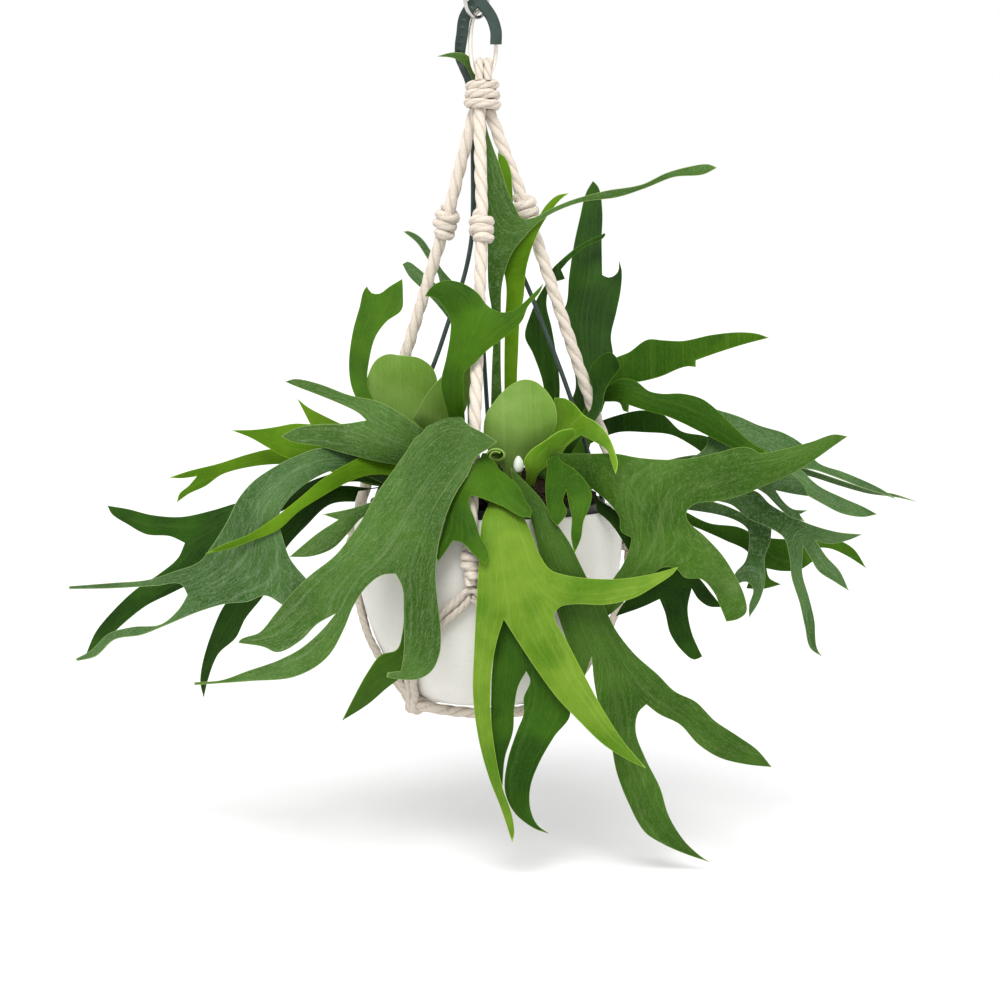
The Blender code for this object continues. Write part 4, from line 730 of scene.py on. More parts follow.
leaf("frond_right_arch", [
    (52, -375), (66, -340), (78, -312), (92, -299), (103, -293.5), (113, -295.5), (123, -303), (132, -305),
    (148, -305), (163, -309), (176, -319), (188, -331), (199, -341), (213, -349), (196, -350), (180, -343),
    (165, -335.5), (148, -327), (135, -321.5), (120, -317.5), (108, -313.5), (107.5, -319), (104, -318),
    (101, -312), (90, -311), (80, -340), (66, -373)],
    [(60, -372, 18), (76, -330, 25), (100, -303, 19), (140, -312, 2), (175, -330, -20),
     (212, -349, -44)], "rich")
leaf("frond_right_upper", [
    (50, -373), (68, -332), (80, -304), (97, -279), (108, -274), (122, -264.5), (134, -265), (148, -265.5),
    (170, -261), (190, -259), (204, -260), (213, -263), (194, -268), (172, -275), (158, -280), (158, -285),
    (152, -284.5), (146, -286), (132, -292), (116, -296), (100, -297), (86, -312), (76, -340), (62, -374)],
    [(56, -372, 27), (74, -326, 34), (92, -292, 33), (130, -280, 16), (212, -263, -34)], "rich")
leaf("frond_back_right", [
    (38, -374), (52, -340), (62, -316), (68, -300), (62, -270), (55, -250), (61, -238), (63, -218),
    (67, -192), (71, -174), (76, -154), (81, -145.5), (85, -150), (88, -168), (87.5, -190), (88, -216),
    (93, -218), (99.5, -214), (100.5, -205), (102.5, -212), (102, -226), (98.5, -244), (94.5, -262),
    (96, -278), (88, -300), (76, -334), (54, -374)],
    [(46, -372, 36), (72, -305, 46), (78, -250, 66), (82, -150, 108), (101, -210, 80)], "dark")
leaf("frond_right_folded", [
    (44, -373), (56, -346), (66, -330), (79, -317), (80.5, -300), (78, -289), (86, -277), (94, -274),
    (98, -277), (101.5, -284), (95, -294), (90, -304), (87, -318), (76, -334), (66, -348), (56, -373)],
    [(50, -372, -6), (62, -340, -6), (80, -318, -3), (88, -295, 4), (98, -280, -2)], "dark")
leaf("frond_right_dark_upper", [
    (42, -373), (54, -350), (70, -336), (86, -326), (100, -321), (118, -317.5), (133, -320.5), (147, -333),
    (166, -337), (186, -347), (190, -354), (170, -354), (157, -345), (140, -336), (120, -334), (100, -334),
    (80, -342), (62, -356), (54, -374)],
    [(48, -372, 44), (66, -345, 52), (90, -328, 58), (130, -326, 64), (185, -350, 74)], "dark")
leaf("frond_back_tall", [
    (2, -374), (4, -330), (5, -290), (6, -250), (2.5, -225), (2, -190), (1.5, -150), (1, -125), (-1, -108),
    (-5, -92), (-8, -76), (-11, -66), (-15.5, -58.5), (-23, -53.5), (-36, -52), (-24, -49), (-15, -50),
    (-10.5, -54), (-8.2, -60), (-6, -67), (-2.5, -80), (0, -96), (1.5, -106), (6, -120), (12, -136),
    (17, -152), (23, -166), (28, -173.5), (36, -173), (50, -166), (66, -159.5), (90, -153), (118, -148),
    (136, -139.5), (152, -135), (168, -133), (174, -135.5), (164, -140.5), (142, -142.5), (120, -151),
    (100, -157.5), (72, -161.5), (54, -168), (42, -175), (30, -187), (20, -200), (13, -222), (12, -250),
    (12, -290), (14, -330), (16, -374)],
    [(9, -373, 10), (9, -326, 8), (9, -270, 0), (8, -215, -8), (12, -165, -10), (5, -125, 0),
     (0, -108, 10), (-2, -93, 21.5), (-3, -80, 23.5), (-7, -69, 23), (-9.5, -63, 17.5), (-11.5, -58.5, 12),
     (-14, -55.5, 9.3), (-19, -52, 7.6), (-35, -52, 3), (50, -167, -6), (110, -152, -20),
     (172, -135, -36)], "green")
leaf("frond_back_bright", [
    (16, -374), (15, -330), (14.5, -290), (15, -250), (16, -225), (12, -200), (13, -170), (11, -145),
    (9.5, -124), (15, -128), (19, -137), (20.5, -152), (21.5, -168), (24, -184), (32, -181.5), (39, -174),
    (46, -163.5), (54, -156.5), (63, -154.5), (57, -159), (49, -168.5), (42, -179.5), (36, -193),
    (31, -211), (29, -232), (26, -250), (25, -270), (24, -300), (26, -330), (28, -374)],
    [(22, -372, 22), (20, -328, 18), (20, -270, 8), (22, -215, 0), (12, -130, 3.5), (34, -180, -3),
     (60, -156, 2)], "bright")
leaf("frond_back_dark", [
    (26, -374), (36, -346), (44, -325), (44, -300), (36, -275), (30, -262), (34, -246), (40, -232),
    (46, -222), (50, -212), (58, -204), (72, -193), (90, -184.5), (90, -186.5), (74, -195.5), (63, -205),
    (57, -212), (60, -219), (50, -223), (46, -236), (50, -256), (54, -280), (56, -300), (54, -325),
    (48, -348), (42, -374)],
    [(34, -372, 30), (42, -340, 32), (48, -290, 34), (44, -240, 42), (60, -210, 56),
     (90, -185, 78)], "dark")
leaf("frond_centre_fold", [
    (-22, -375), (-23, -346), (-28, -320), (-33, -298), (-29, -278), (-26, -260), (-26, -250), (-31, -240),
    (-38, -233), (-45, -232), (-42, -227), (-36, -222), (-26, -220), (-14, -223.5), (-5, -230), (2, -239),
    (12, -244), (22, -242), (34, -232), (44, -222), (41, -229), (32, -240), (28, -250), (18, -260),
    (6, -269), (-2, -276), (-8, -282.5), (-15, -288), (-16, -305), (-15, -325), (-14, -346), (-12, -375)],
    [(-17, -374, -30), (-18, -344, -52), (-22, -300, -74), (-10, -260, -72), (-40, -228, -66),
     (42, -225, -66), (12, -250, -74)], "rich")
leaf("frond_back_left", [
    (-14, -374), (-13, -340), (-14, -300), (-18, -268), (-27, -250), (-38, -236), (-48, -226), (-57, -217),
    (-62, -208), (-58, -206), (-50, -211), (-42, -218), (-33, -226), (-36, -214), (-43, -204), (-51, -192),
    (-61, -183.5), (-58, -183), (-48, -188), (-40, -199), (-32, -212), (-22, -224), (-14, -240),
    (-8, -268), (-6, -300), (-4, -340), (-4, -374)],
    [(-9, -373, 20), (-9, -338, 28), (-14, -280, 42), (-26, -240, 50), (-60, -208, 70),
     (-60, -184, 84)], "grey")
leaf("frond_left_upright", [
    (-52, -374), (-64, -346), (-80, -328), (-92, -316), (-100, -300), (-102, -283), (-99, -258),
    (-94, -240), (-91, -228), (-88.5, -224.5), (-85, -229.5), (-79, -230), (-72, -225), (-62, -219),
    (-61.5, -230), (-62.5, -242), (-74, -251), (-82, -262), (-86.5, -278), (-88, -298), (-82, -312),
    (-66, -328), (-52, -346), (-38, -374)],
    [(-45, -372, -6), (-58, -344, -14), (-80, -322, -12), (-95, -290, 2), (-90, -235, 34),
     (-64, -225, 30)], "rich")
leaf("frond_left_mid", [
    (-20, -378), (-30, -352), (-40, -337), (-52, -328), (-66, -318), (-80, -311), (-102, -306),
    (-125, -297.5), (-143, -294), (-150, -296), (-142, -299.5), (-125, -306), (-108, -313), (-95, -319.5),
    (-89, -325), (-105, -327.5), (-125, -328), (-142, -331), (-153, -337), (-146, -340.5), (-124, -344.5),
    (-104, -350), (-82, -355.5), (-62, -359), (-42, -364), (-32, -378)],
    [(-26, -377, -14), (-38, -352, -28), (-60, -340, -44), (-100, -336, -46), (-152, -337, -40),
     (-95, -312, -40), (-149, -296, -30)], "green")
leaf("frond_left_bright", [
    (-38, -378), (-52, -358), (-72, -346), (-92, -338), (-104, -330), (-120, -322), (-133, -315),
    (-141, -308.5), (-136, -318), (-131, -328), (-143, -327.5), (-157, -330), (-172, -332), (-190, -332.5),
    (-176, -338), (-160, -347), (-147, -353.5), (-126, -352), (-104, -353), (-84, -360), (-64, -368),
    (-50, -380)],
    [(-47, -373, 18), (-60, -362, 12), (-90, -350, -12), (-125, -340, -14), (-189, -333, 14),
     (-140, -312, 2)], "bright")
leaf("frond_left_olive", [
    (-44, -372), (-62, -368), (-84, -364), (-106, -356), (-130, -349), (-160, -346.5), (-178, -350.5),
    (-200, -357.5), (-222, -363), (-237, -368), (-228, -368.5), (-216, -367), (-222, -374), (-229, -380),
    (-231, -386.5), (-222, -380), (-210, -374.5), (-198, -366), (-184, -361.5), (-160, -358), (-132, -359),
    (-108, -366), (-88, -373), (-66, -376), (-44, -380)],
    [(-45, -376, 26), (-64, -372, 24), (-100, -362, 16), (-160, -352, 26), (-236, -368, 62),
     (-230, -386, 56)], "bright")
leaf("frond_left_silver", [
    (-38, -376), (-54, -370), (-76, -358), (-100, -349), (-124, -346), (-142, -352), (-158, -360),
    (-174, -371), (-185, -384), (-194, -402), (-206, -421), (-214, -431), (-232, -438), (-252, -444.5),
    (-280, -447), (-312, -449.5), (-312, -451.5), (-280, -451), (-246, -449), (-228, -448), (-223, -456),
    (-229, -466), (-243, -478), (-264, -480), (-282, -485), (-296, -498), (-307, -504), (-306, -505.5),
    (-292, -502), (-278, -489.5), (-258, -486), (-240, -479), (-216, -469), (-194, -462.5), (-178, -461),
    (-165, -456.5), (-151, -464), (-133, -445), (-146, -429), (-152, -412), (-155, -398), (-148, -385),
    (-132, -371), (-110, -362), (-86, -368), (-62, -380), (-40, -386)],
    [(-40, -380, -10), (-58, -374, -16), (-95, -357, -33), (-140, -364, -58), (-170, -395, -72),
     (-190, -435, -70), (-140, -448, -74), (-310, -450, -10), (-304, -504, -64), (-240, -470, -62)], "grey")
leaf("frond_left_dark", [
    (-44, -372), (-70, -366), (-100, -362), (-124, -368), (-148, -378), (-166, -382), (-186, -387),
    (-206, -393), (-228, -397.5), (-250, -396), (-268, -391.5), (-283, -389), (-280, -395), (-268, -403),
    (-254, -410.5), (-236, -412), (-225, -417), (-230, -428), (-244, -440), (-262, -452), (-278, -467),
    (-292, -484), (-299, -500), (-290, -496), (-274, -480), (-254, -464), (-234, -454), (-216, -444),
    (-204, -430), (-192, -414), (-174, -402), (-150, -392), (-126, -378), (-100, -371), (-70, -375),
    (-44, -380)],
    [(-45, -376, -2), (-70, -370, -6), (-100, -366, -16), (-150, -384, -34), (-195, -405, -34),
     (-282, -391, 20), (-298, -498, -4), (-235, -445, -30)], "dark")
leaf("frond_left_down", [
    (-44, -374), (-84, -376), (-104, -374), (-124, -376), (-142, -388), (-156, -404), (-168, -424),
    (-172, -444), (-184, -452), (-195, -463), (-204, -482), (-212, -508), (-213.5, -522), (-211, -533),
    (-208, -520), (-200, -500), (-187, -488), (-180, -474), (-166, -456), (-158, -440), (-150, -422),
    (-134, -404), (-116, -388), (-90, -386), (-44, -384)],
    [(-45, -379, 22), (-88, -382, 6), (-125, -386, -20), (-160, -425, -42), (-180, -465, -40),
     (-211, -530, -14)], "dark")
leaf("frond_left_thin", [
    (-42, -384), (-52, -366), (-66, -359), (-88, -351.5), (-104, -358), (-122, -369), (-140, -384),
    (-158, -398), (-178, -411), (-196, -418), (-210, -425), (-194, -422), (-174, -415), (-155, -407),
    (-140, -393.5), (-122, -382), (-104, -372), (-86, -366), (-68, -367), (-56, -374), (-48, -384)],
    [(-44, -378, -26), (-58, -366, -33), (-90, -358, -42), (-140, -388, -74), (-208, -424, -82)], "bright")
leaf("frond_left_inner", [
    (-34, -381), (-46, -377), (-58, -378), (-70, -383), (-84, -386), (-100, -391), (-122, -395.5),
    (-110, -399.5), (-126, -410), (-147, -427.5), (-130, -427), (-114, -421), (-102, -409), (-92, -398),
    (-78, -394), (-60, -390), (-46, -386), (-36, -389)],
    [(-29, -385, -50), (-45, -382, -60), (-62, -384, -70), (-88, -392, -82), (-120, -396, -76),
     (-145, -427, -80)], "green")
leaf("frond_low_left", [
    (-28, -378), (-18, -380), (-25, -392), (-36, -404), (-44, -436), (-46, -470), (-52, -500), (-63, -517),
    (-74, -526), (-88, -538), (-107, -550), (-98, -532), (-88, -514), (-78, -501), (-66, -497),
    (-62, -485), (-60, -440), (-52, -408), (-44, -392)],
    [(-23, -379, -50), (-35, -392, -88), (-44, -406, -101), (-52, -436, -103), (-54, -480, -101),
     (-75, -515, -94), (-106, -549, -84)], "rich")
leaf("shield_round", [
    (17, -373), (13, -361), (6, -350), (0, -341), (-1, -329), (1, -320), (7, -311), (16, -301),
    (28, -294.5), (38, -296), (47, -304), (53, -315), (53.5, -327), (49, -337), (41, -345), (34, -352),
    (28, -362), (26, -373)],
    [(21, -372, -42), (20, -360, -47), (26, -340, -56), (28, -298, -54), (2, -328, -60),
     (52, -320, -58)], "pale",
     cup=0.2, wave=0.3)
leaf("shield_lip", [
    (30, -377), (31, -364), (29, -356), (34, -348), (44, -341), (56, -333), (66, -331), (68, -336),
    (60, -343), (50, -348), (47, -358), (40, -365), (36, -377)],
    [(33, -373, -52), (36, -363, -64), (40, -350, -69), (66, -333, -66)], "lip", cup=0.2, wave=0.3)
leaf("shield_curled", [
    (42, -373), (48, -346), (53, -326), (52, -308), (60, -308.5), (67, -313), (74, -321), (84, -327),
    (92, -336), (97, -347), (99.5, -358), (98, -365), (95, -357), (92, -348), (82, -341), (72, -336),
    (60, -346), (52, -373)],
    [(47, -372, -12), (54, -344, -22), (58, -312, -32), (76, -330, -44), (98, -362, -100)], "lip",
     cup=0.2, wave=0.3)
leaf("shield_left_back", [
    (-38, -374), (-50, -344), (-66, -330), (-84, -320), (-90, -306), (-87, -289), (-82, -280),
    (-74, -275.5), (-62, -276.5), (-50, -278), (-40, -285), (-36, -294), (-37, -310), (-34, -335),
    (-28, -374)],
    [(-33, -373, 14), (-45, -338, 10), (-66, -316, 6), (-84, -285, 4), (-42, -290, 12)], "pale",
     cup=0.2, wave=0.3)
leaf("shield_left_front", [
    (-28, -376), (-34, -350), (-44, -336), (-54, -324), (-46, -309), (-38, -298), (-29, -289.5),
    (-18, -284), (-9, -284), (-11, -296), (-13, -312), (-18, -326), (-24, -348), (-22, -376)],
    [(-25, -375, 2), (-29, -348, -14), (-36, -315, -34), (-14, -288, -52)], "pale", cup=0.2, wave=0.3)
leaf("frond_wavy", [
    (46, -355), (50, -353), (50, -322), (56, -322), (56, -354), (66, -361), (75, -370), (80, -380),
    (78, -391), (74, -400), (72, -413), (67, -425), (64.5, -412), (65, -398), (63, -388), (61, -377),
    (58.5, -385), (61.5, -394), (58, -400), (54, -404.5), (49, -398), (46, -386), (45.5, -372), (47, -360)],
    [(52, -354, -74), (50, -378, -94), (70, -378, -98), (54, -402, -112), (68, -400, -110),
     (67, -424, -112)], "rich", fold=([(44, -354), (60, -354)], 3.2, 1.4), cup=0.2, wave=0.3)

# ---------------------------------------------------------------- ring, link, hook, struts
STEEL = plain_material("ring_steel", (0.66, 0.65, 0.62), (0.55, 0.54, 0.52), 90.0, 0.24, 0.00003, 1.0, 0.08)
WIRE = plain_material("link_wire", (0.80, 0.76, 0.68), (0.70, 0.65, 0.56), 120.0, 0.34, 0.00003, 0.55, 0.08)
PLASTIC = plain_material("hanger_plastic", (0.030, 0.052, 0.043), (0.018, 0.033, 0.026), 60.0, 0.46, 0.00005,
                         Specular_IOR_Level=0.3)
RING_MID, RING_R, RING_WIRE_R, RING_TURN = seen(-6.4, -10.0, 0.0), 12.6, 1.5, math.radians(50)
a = np.linspace(0, 2 * np.pi, 96, endpoint=False)[:, None]
c, s = np.cos(a), np.sin(a)
out = Mesh()
sweep(out, RING_MID + RING_R * np.hstack([c * math.cos(RING_TURN), c * math.sin(RING_TURN), s]),
      RING_WIRE_R, 18, closed=True)
out.make("steel_ring", "hang_ring", STEEL)

LINK_MID, LINK_H, LINK_W, LINK_WIRE_R = np.array([-1.1, 4.6, -45.7]), 24.1, 9.5, 1.6
out = Mesh()
sweep(out, LINK_MID + np.hstack([LINK_W * np.sign(c) * np.abs(c) ** 0.75, 1.2 * c,
                                 LINK_H * np.sign(s) * np.abs(s) ** 0.9]), LINK_WIRE_R, 18, closed=True)
out.make("wire_link", "rope_link", WIRE)


def channel(ang, run):
    """Flat band with rounded corners, a channel down its front face and ribs across the channel."""
    rib_pitch, first, last, ease = 5.2, 34.0, 88.0, 4.0
    k = 1.0 / (np.abs(np.cos(ang)) ** 5 + np.abs(np.sin(ang)) ** 5) ** 0.2
    front = np.exp(-(((ang - 1.5 * np.pi) / 0.62) ** 6))
    rib = np.exp(-((((run + 1.0) % rib_pitch) - rib_pitch / 2) / 0.7) ** 2)
    part_way = np.clip((run - first) / ease, 0, 1) * np.clip((last - run) / ease, 0, 1)
    k = k - 0.4 * front * (1 - 0.75 * rib) * part_way
    return k, np.broadcast_to(ang, k.shape)


def square_wire(ang, run):
    """A round wire with four faint flats."""
    return 1 + 0.08 * np.cos(4 * ang) + 0 * run, ang + 0 * run


hook_path = curve([
    seen(8.2, -43.0, 0), seen(8.0, -32.0, 0), seen(3.6, -20.5, 0), seen(-5.8, -11.1, 0),
    seen(-14.8, -22.0, 1), seen(-17.2, -36.0, 3), seen(-18.6, -47.0, 9), seen(-18.4, -54.0, 16),
    seen(-16.0, -61.0, 25), seen(-12.5, -69.0, 30.5), seen(-9.0, -82.0, 31), seen(-8.0, -100.0, 28),
    seen(-7.4, -110.0, 26)], 0.8)
out = Mesh()
sweep(out, hook_path, lambda run: 4.3 - min(1.0, max(0.0, run - 70) / 25) * 1.2, 40, shape=channel,
      squash=0.62)
out.make("hook_band", "hanger_hook", PLASTIC, sharp=50)
STRUTS = {
    "left": [(-9.2, -108.8, 25.6), (-9.0, -165, 26), (-10.5, -192, 26), (-16.5, -220, 25), (-27, -250, 24),
             (-40, -287, 22), (-62, -335, 19), (-81.0, -381.8, 16)],
    "right": [(-5.6, -108.8, 25.6), (0, -160, 26), (12, -190, 24), (27, -214, 21), (45, -257, 15),
              (62, -302, 10), (76, -345, 6), (88, -383.4, 3)],
    "back": [(-7.4, -109.4, 29.4), (-6.5, -165, 33), (-4, -220, 46), (0, -290, 64), (4, -352, 83),
             (5, -375.0, 86.7)],
}
for key, marks in STRUTS.items():
    out = Mesh()
    sweep(out, curve([seen(*m) for m in marks], 2.5), lambda run: 1.6 + 0.35 * math.exp(-(run / 6.0) ** 2),
          14, shape=square_wire)
    out.make("strut_" + key, "hanger_strut_" + key, PLASTIC)

# ---------------------------------------------------------------- bowl, nursery pot, soil, crown
WHITE = plain_material("white_ceramic", (0.77, 0.745, 0.695), (0.72, 0.70, 0.65), 18.0, 0.42, 0.00008,
                       Coat_Weight=0.12, Coat_Roughness=0.35)
BLACK = plain_material("pot_plastic", (0.022, 0.022, 0.022), (0.035, 0.034, 0.032), 50.0, 0.5, 0.00008)
SOIL = soil_material("potting_soil", (0.009, 0.006, 0.004), (0.026, 0.016, 0.010), (0.10, 0.075, 0.05))
FIBRE = soil_material("crown_fibre", (0.014, 0.009, 0.005), (0.038, 0.023, 0.012), (0.11, 0.078, 0.045))


def rounded(profile, step):
    """A smooth (radius, z) profile through the given ones."""
    return [(p[0], p[2]) for p in curve([(r, 0, z) for r, z in profile], step)]


OUTER = [(44, -533), (52, -531.5), (62, -525), (74, -509), (85, -487), (93.5, -461), (98.5, -438),
         (100.5, -418), (99.5, -402), (97, -391.2), (96.2, -390.1), (94.4, -389.6), (93.0, -390.6),
         (93.4, -393)]
INNER = [(93.4, -393), (95.5, -404), (96.5, -418), (94.5, -438), (89.5, -461), (81.2, -486), (70.5, -507),
         (59, -521.5), (50, -527.5), (42, -529)]
out = Mesh()
turned(out, [(0.0, -533.0)] + rounded(OUTER, 2.4) + rounded(INNER, 6.0)[1:] + [(0.0, -529.0)], 128,
       step=3.6, wobble=0.0015)
out.make("ceramic_bowl", "bowl", WHITE, sharp=60)
out = Mesh()
turned(out, [(0, -515), (52, -515), (54, -513.8), (84.3, -397), (84.6, -395.6), (87.2, -395.5), (88, -394.8),
             (88, -384.6), (87.4, -384), (86, -384), (85.5, -384.6), (83, -394), (52.5, -513.5), (0, -513.5)],
       112, step=9.0)
out.make("inner_pot", "nursery_pot", BLACK, sharp=40)


def bumps(x, y):
    """A few crossed waves that stand for lumps of soil."""
    total = 0.0
    for k, (fx, fy, ph) in enumerate(((0.21, 0.13, 0.3), (-0.17, 0.24, 1.9), (0.43, -0.31, 4.0),
                                      (0.37, 0.52, 2.2), (-0.71, 0.55, 5.1), (0.83, 0.77, 0.9))):
        total = total + np.sin(fx * x + fy * y + ph) * np.sin(fy * x - fx * y + 2 * ph) / (1 + 0.55 * k)
    return total


def heap(out, cx, cy, reach, top, foot, n_ang=120, n_rad=40):
    """A closed heap: top(share of the reach, x, y) over a disc, and (radius, z) rings below it."""
    r = reach * np.linspace(0.004, 1, n_rad) ** 0.85
    ang = 2 * np.pi * np.arange(n_ang) / n_ang
    x, y = cx + r[:, None] * np.cos(ang), cy + r[:, None] * np.sin(ang)
    verts = [np.stack([x, y, top(r[:, None] / reach, x, y)], -1).reshape(-1, 3)]
    for rr, zz in foot:
        verts.append(np.stack([cx + rr * np.cos(ang), cy + rr * np.sin(ang), np.full(n_ang, zz)], -1))
    rows = n_rad + len(foot)
    faces = turned_over(quads(rows, n_ang))
    faces += [tuple(reversed(range((rows - 1) * n_ang, rows * n_ang))), tuple(range(n_ang))]
    v = np.concatenate(verts)
    out.add(v, faces, np.zeros((len(v), 3)))


def chips(out, count, spot, lo, hi):
    """Bark chips and crumbs: small squashed eight-sided lumps at spot()."""
    base = np.array([(1, 0, 0), (-1, 0, 0), (0, 1, 0), (0, -1, 0), (0, 0, 1), (0, 0, -1)], float)
    tri = [(0, 2, 4), (2, 1, 4), (1, 3, 4), (3, 0, 4), (2, 0, 5), (1, 2, 5), (3, 1, 5), (0, 3, 5)]
    for _ in range(count):
        mid = spot()
        q, _r = np.linalg.qr(RNG.normal(size=(3, 3)))
        size = RNG.uniform(lo, hi) * np.array([1.0, RNG.uniform(0.5, 0.9), RNG.uniform(0.3, 0.6)])
        pts = (base * size + RNG.normal(size=(6, 3)) * 0.12 * size) @ (q if np.linalg.det(q) > 0 else -q)
        out.add(mid + pts, tri, np.zeros((6, 3)))


def on_soil():
    """A random place on the ring of bare soil round the crown."""
    r, t = 78 * math.sqrt(RNG.uniform(0.35, 1)), RNG.uniform(0, 2 * math.pi)
    return np.array([AXIS_X + r * math.cos(t), r * math.sin(t), SOIL_Z - 0.6 + RNG.uniform(-0.3, 0.5)])


out = Mesh()
heap(out, AXIS_X, 0, 81.4, lambda r, x, y: SOIL_Z - 0.6 - 2.6 * np.clip((r - 0.86) / 0.14, 0, 1)
     + 0.55 * bumps(x, y), [(82.2, -392), (81.4, -400), (51.6, -513)])
chips(out, 420, on_soil, 1.0, 3.4)
out.make("soil_heap", "soil", SOIL, sharp=35)

out = Mesh()
CROWN_RISE = 13.0
heap(out, CROWN_X, CROWN_Y, CROWN_R,
     lambda r, x, y: SOIL_Z + 1.6 + CROWN_RISE * (1 - r * r) + 0.5 * bumps(1.3 * x, 1.3 * y),
     [(CROWN_R - 0.3, SOIL_Z + 0.3)])
for _ in range(420):                     # dry fibres that lie on the crown
    r, t = CROWN_R * math.sqrt(RNG.uniform(0.02, 0.95)), RNG.uniform(0, 2 * math.pi)
    z = SOIL_Z + 1.8 + CROWN_RISE * (1 - (r / CROWN_R) ** 2)
    foot = np.array([CROWN_X + r * math.cos(t), CROWN_Y + r * math.sin(t), z])
    go = np.array([math.cos(t + RNG.normal() * 0.8), math.sin(t + RNG.normal() * 0.8), 0.0])
    long = RNG.uniform(3, 9)
    path = [foot, foot + go * long * 0.5 + [0, 0, RNG.uniform(0.3, 1.2)],
            foot + go * long - [0, 0, long * 0.22]]
    sweep(out, curve(path, long / 5), lambda run: 0.34 * max(0.15, 1 - run / 12), 4)
out.make("crown_mound", "crown", FIBRE, sharp=60)

# ---------------------------------------------------------------- ropes
ROPE = rope_material("cotton_rope", (0.68, 0.60, 0.51), (0.36, 0.29, 0.21))
KNOT_MID = seen(-2.0, -80.3, 5.6)
out = Mesh()
LINK_FOOT = LINK_MID + np.array([0.3, 0.0, -LINK_H])
FOLD = [(-8.2, -3.4), (-8.2, 0.4), (-7.8, 4.0), (-5.8, 7.8), (-2.4, 10.2),
        (2.4, 10.2), (5.8, 7.8), (7.8, 4.0), (8.2, 0.4), (8.2, -3.4)]
for side in (-1, 1):
    path = curve([LINK_FOOT + np.array([3.0 * side, y, z]) for y, z in FOLD], 0.9)
    sweep(out, path, 3.25, 24, shape=lay(-26.0, 0.7 * side))
out.make("fold_rope", "rope_fold", ROPE, sharp=80)

out = Mesh()
core = curve([KNOT_MID + [0, 0, 9.4], KNOT_MID, KNOT_MID - [0, 0, 11.0]], 1.5)
sweep(out, core, 8.6, 32, shape=lay(-40.0))
for k, (up, reach) in enumerate(((6.2, 8.9), (-0.6, 9.8), (-7.4, 10.2))):
    th = np.linspace(0, 2 * np.pi, 90, endpoint=False)
    ring = KNOT_MID + np.stack([reach * np.cos(th), reach * np.sin(th), up + 0.9 * np.cos(th + 0.6 + k)], 1)
    sweep(out, ring, 3.9, 24, closed=True, shape=lay(-2 * np.pi * reach / 2, 0.9 * k))
out.make("knot_wraps", "top_knot", ROPE, sharp=80)

CORDS = {"front": -6.0, "left": -113.0, "right": 100.0}     # azimuth of each cord's foot
CORD_TOP = {"front": (-4.2, -94.6, 0.6), "left": (-8.2, -94.6, 9.5), "right": (3.8, -94.6, 9.5)}
CORD_KNOT = {"front": (-2.5, -180.5, -31), "left": (-29.5, -176.5, 13.5), "right": (31.0, -167.5, 11.2)}


def around(azimuth, r, z):
    """Point r from the bowl axis; azimuth 0 is the viewer's side, 90 the viewer's right."""
    t = math.radians(azimuth)
    return np.array([AXIS_X + r * math.sin(t), -r * math.cos(t), z])


for key, az in CORDS.items():
    top, knot = seen(*CORD_TOP[key]), seen(*CORD_KNOT[key])
    lip = around(az, 104.2, -386)
    start = top + (top - knot) / np.linalg.norm(top - knot) * 2.6    # tucked into the top knot
    path = curve([start, top + (knot - top) * 0.5, knot, knot + (lip - knot) * 0.5, lip,
                  around(az, 106.3, -404), around(az, 110.1, -420), around(az, 109.3, -434.5)], 1.5)
    run = frames(path)[-1]
    first, total = float(np.linalg.norm(knot - start)), run[-1]
    out = Mesh()
    sweep(out, path, 4.75, 27, shape=lay(-45.0, deep=0.37))
    for mid, half, reach, r, turns in ((first, 10.2, 6.0, 3.8, 3.1), (total - 16, 9.6, 5.2, 3.5, 3.0)):
        p0, p1 = (np.array([np.interp(mid + d, run, path[:, k]) for k in range(3)]) for d in (-half, half))
        wraps(out, p0, p1, reach, r, turns, tilt=1.6, start=2.4)
    out.make("rope_" + key, "cord_" + key, ROPE, sharp=80)

BASE_AZ = {"front_left": -60.0, "front_right": 47.0, "back": 173.0}     # the base rope's knots
ring_pts = []
for i in range(180):
    az = 2.0 * i
    near = min(abs((az - b + 180) % 360 - 180) for b in BASE_AZ.values())
    lift = math.cos(math.radians(min(near * 4.0, 90)))
    ring_pts.append(around(az, 45.0 + 18.0 * lift, -538.4 + 4.2 * lift))
ring_pts = np.array(ring_pts)
out = Mesh()
sweep(out, ring_pts, 4.2, 24, closed=True, shape=lay(-38.0))
for az in BASE_AZ.values():
    i = int(round(az / 2.0)) % 180
    p0, p1 = ring_pts[(i - 3) % 180], ring_pts[(i + 3) % 180]
    mid, go = (p0 + p1) / 2, (p1 - p0) / np.linalg.norm(p1 - p0)
    wraps(out, mid - go * 6.5, mid + go * 6.5, 4.9, 2.9, 2.5, tilt=1.2, start=0.8)
out.make("rope_base", "base_rope", ROPE, sharp=80)

NET = {"front": ("front_left", "front_right"), "left": ("front_left", "back"),
       "right": ("front_right", "back")}
WALL = [(440, 98), (461, 93.5), (487, 85), (509, 74), (525, 62), (531.5, 52)]


def wall_r(z):
    """The bowl's outside radius at a height."""
    return float(np.interp(-z, [p[0] for p in WALL], [p[1] for p in WALL]))


def leg(az0, az1):
    """Points down the bowl from under a side knot into a base knot."""
    spread = (az1 - az0 + 180) % 360 - 180
    lead = 5.0 if spread > 0 else -5.0
    path = []
    for i in range(9):
        t = i / 8
        z = -449.5 - t * (524.0 - 449.5)
        az = az0 + lead + (spread - 2.2 * lead) * (t ** 0.92)
        path.append(around(az, wall_r(z) + 3.7 + 3.0 * (1 - t) ** 2 + 2.0 * t ** 3, z))
    return path + [around(az1 - 0.45 * lead, 66.5, -530.0), around(az1 - 0.2 * lead, 64.0, -534.0)]


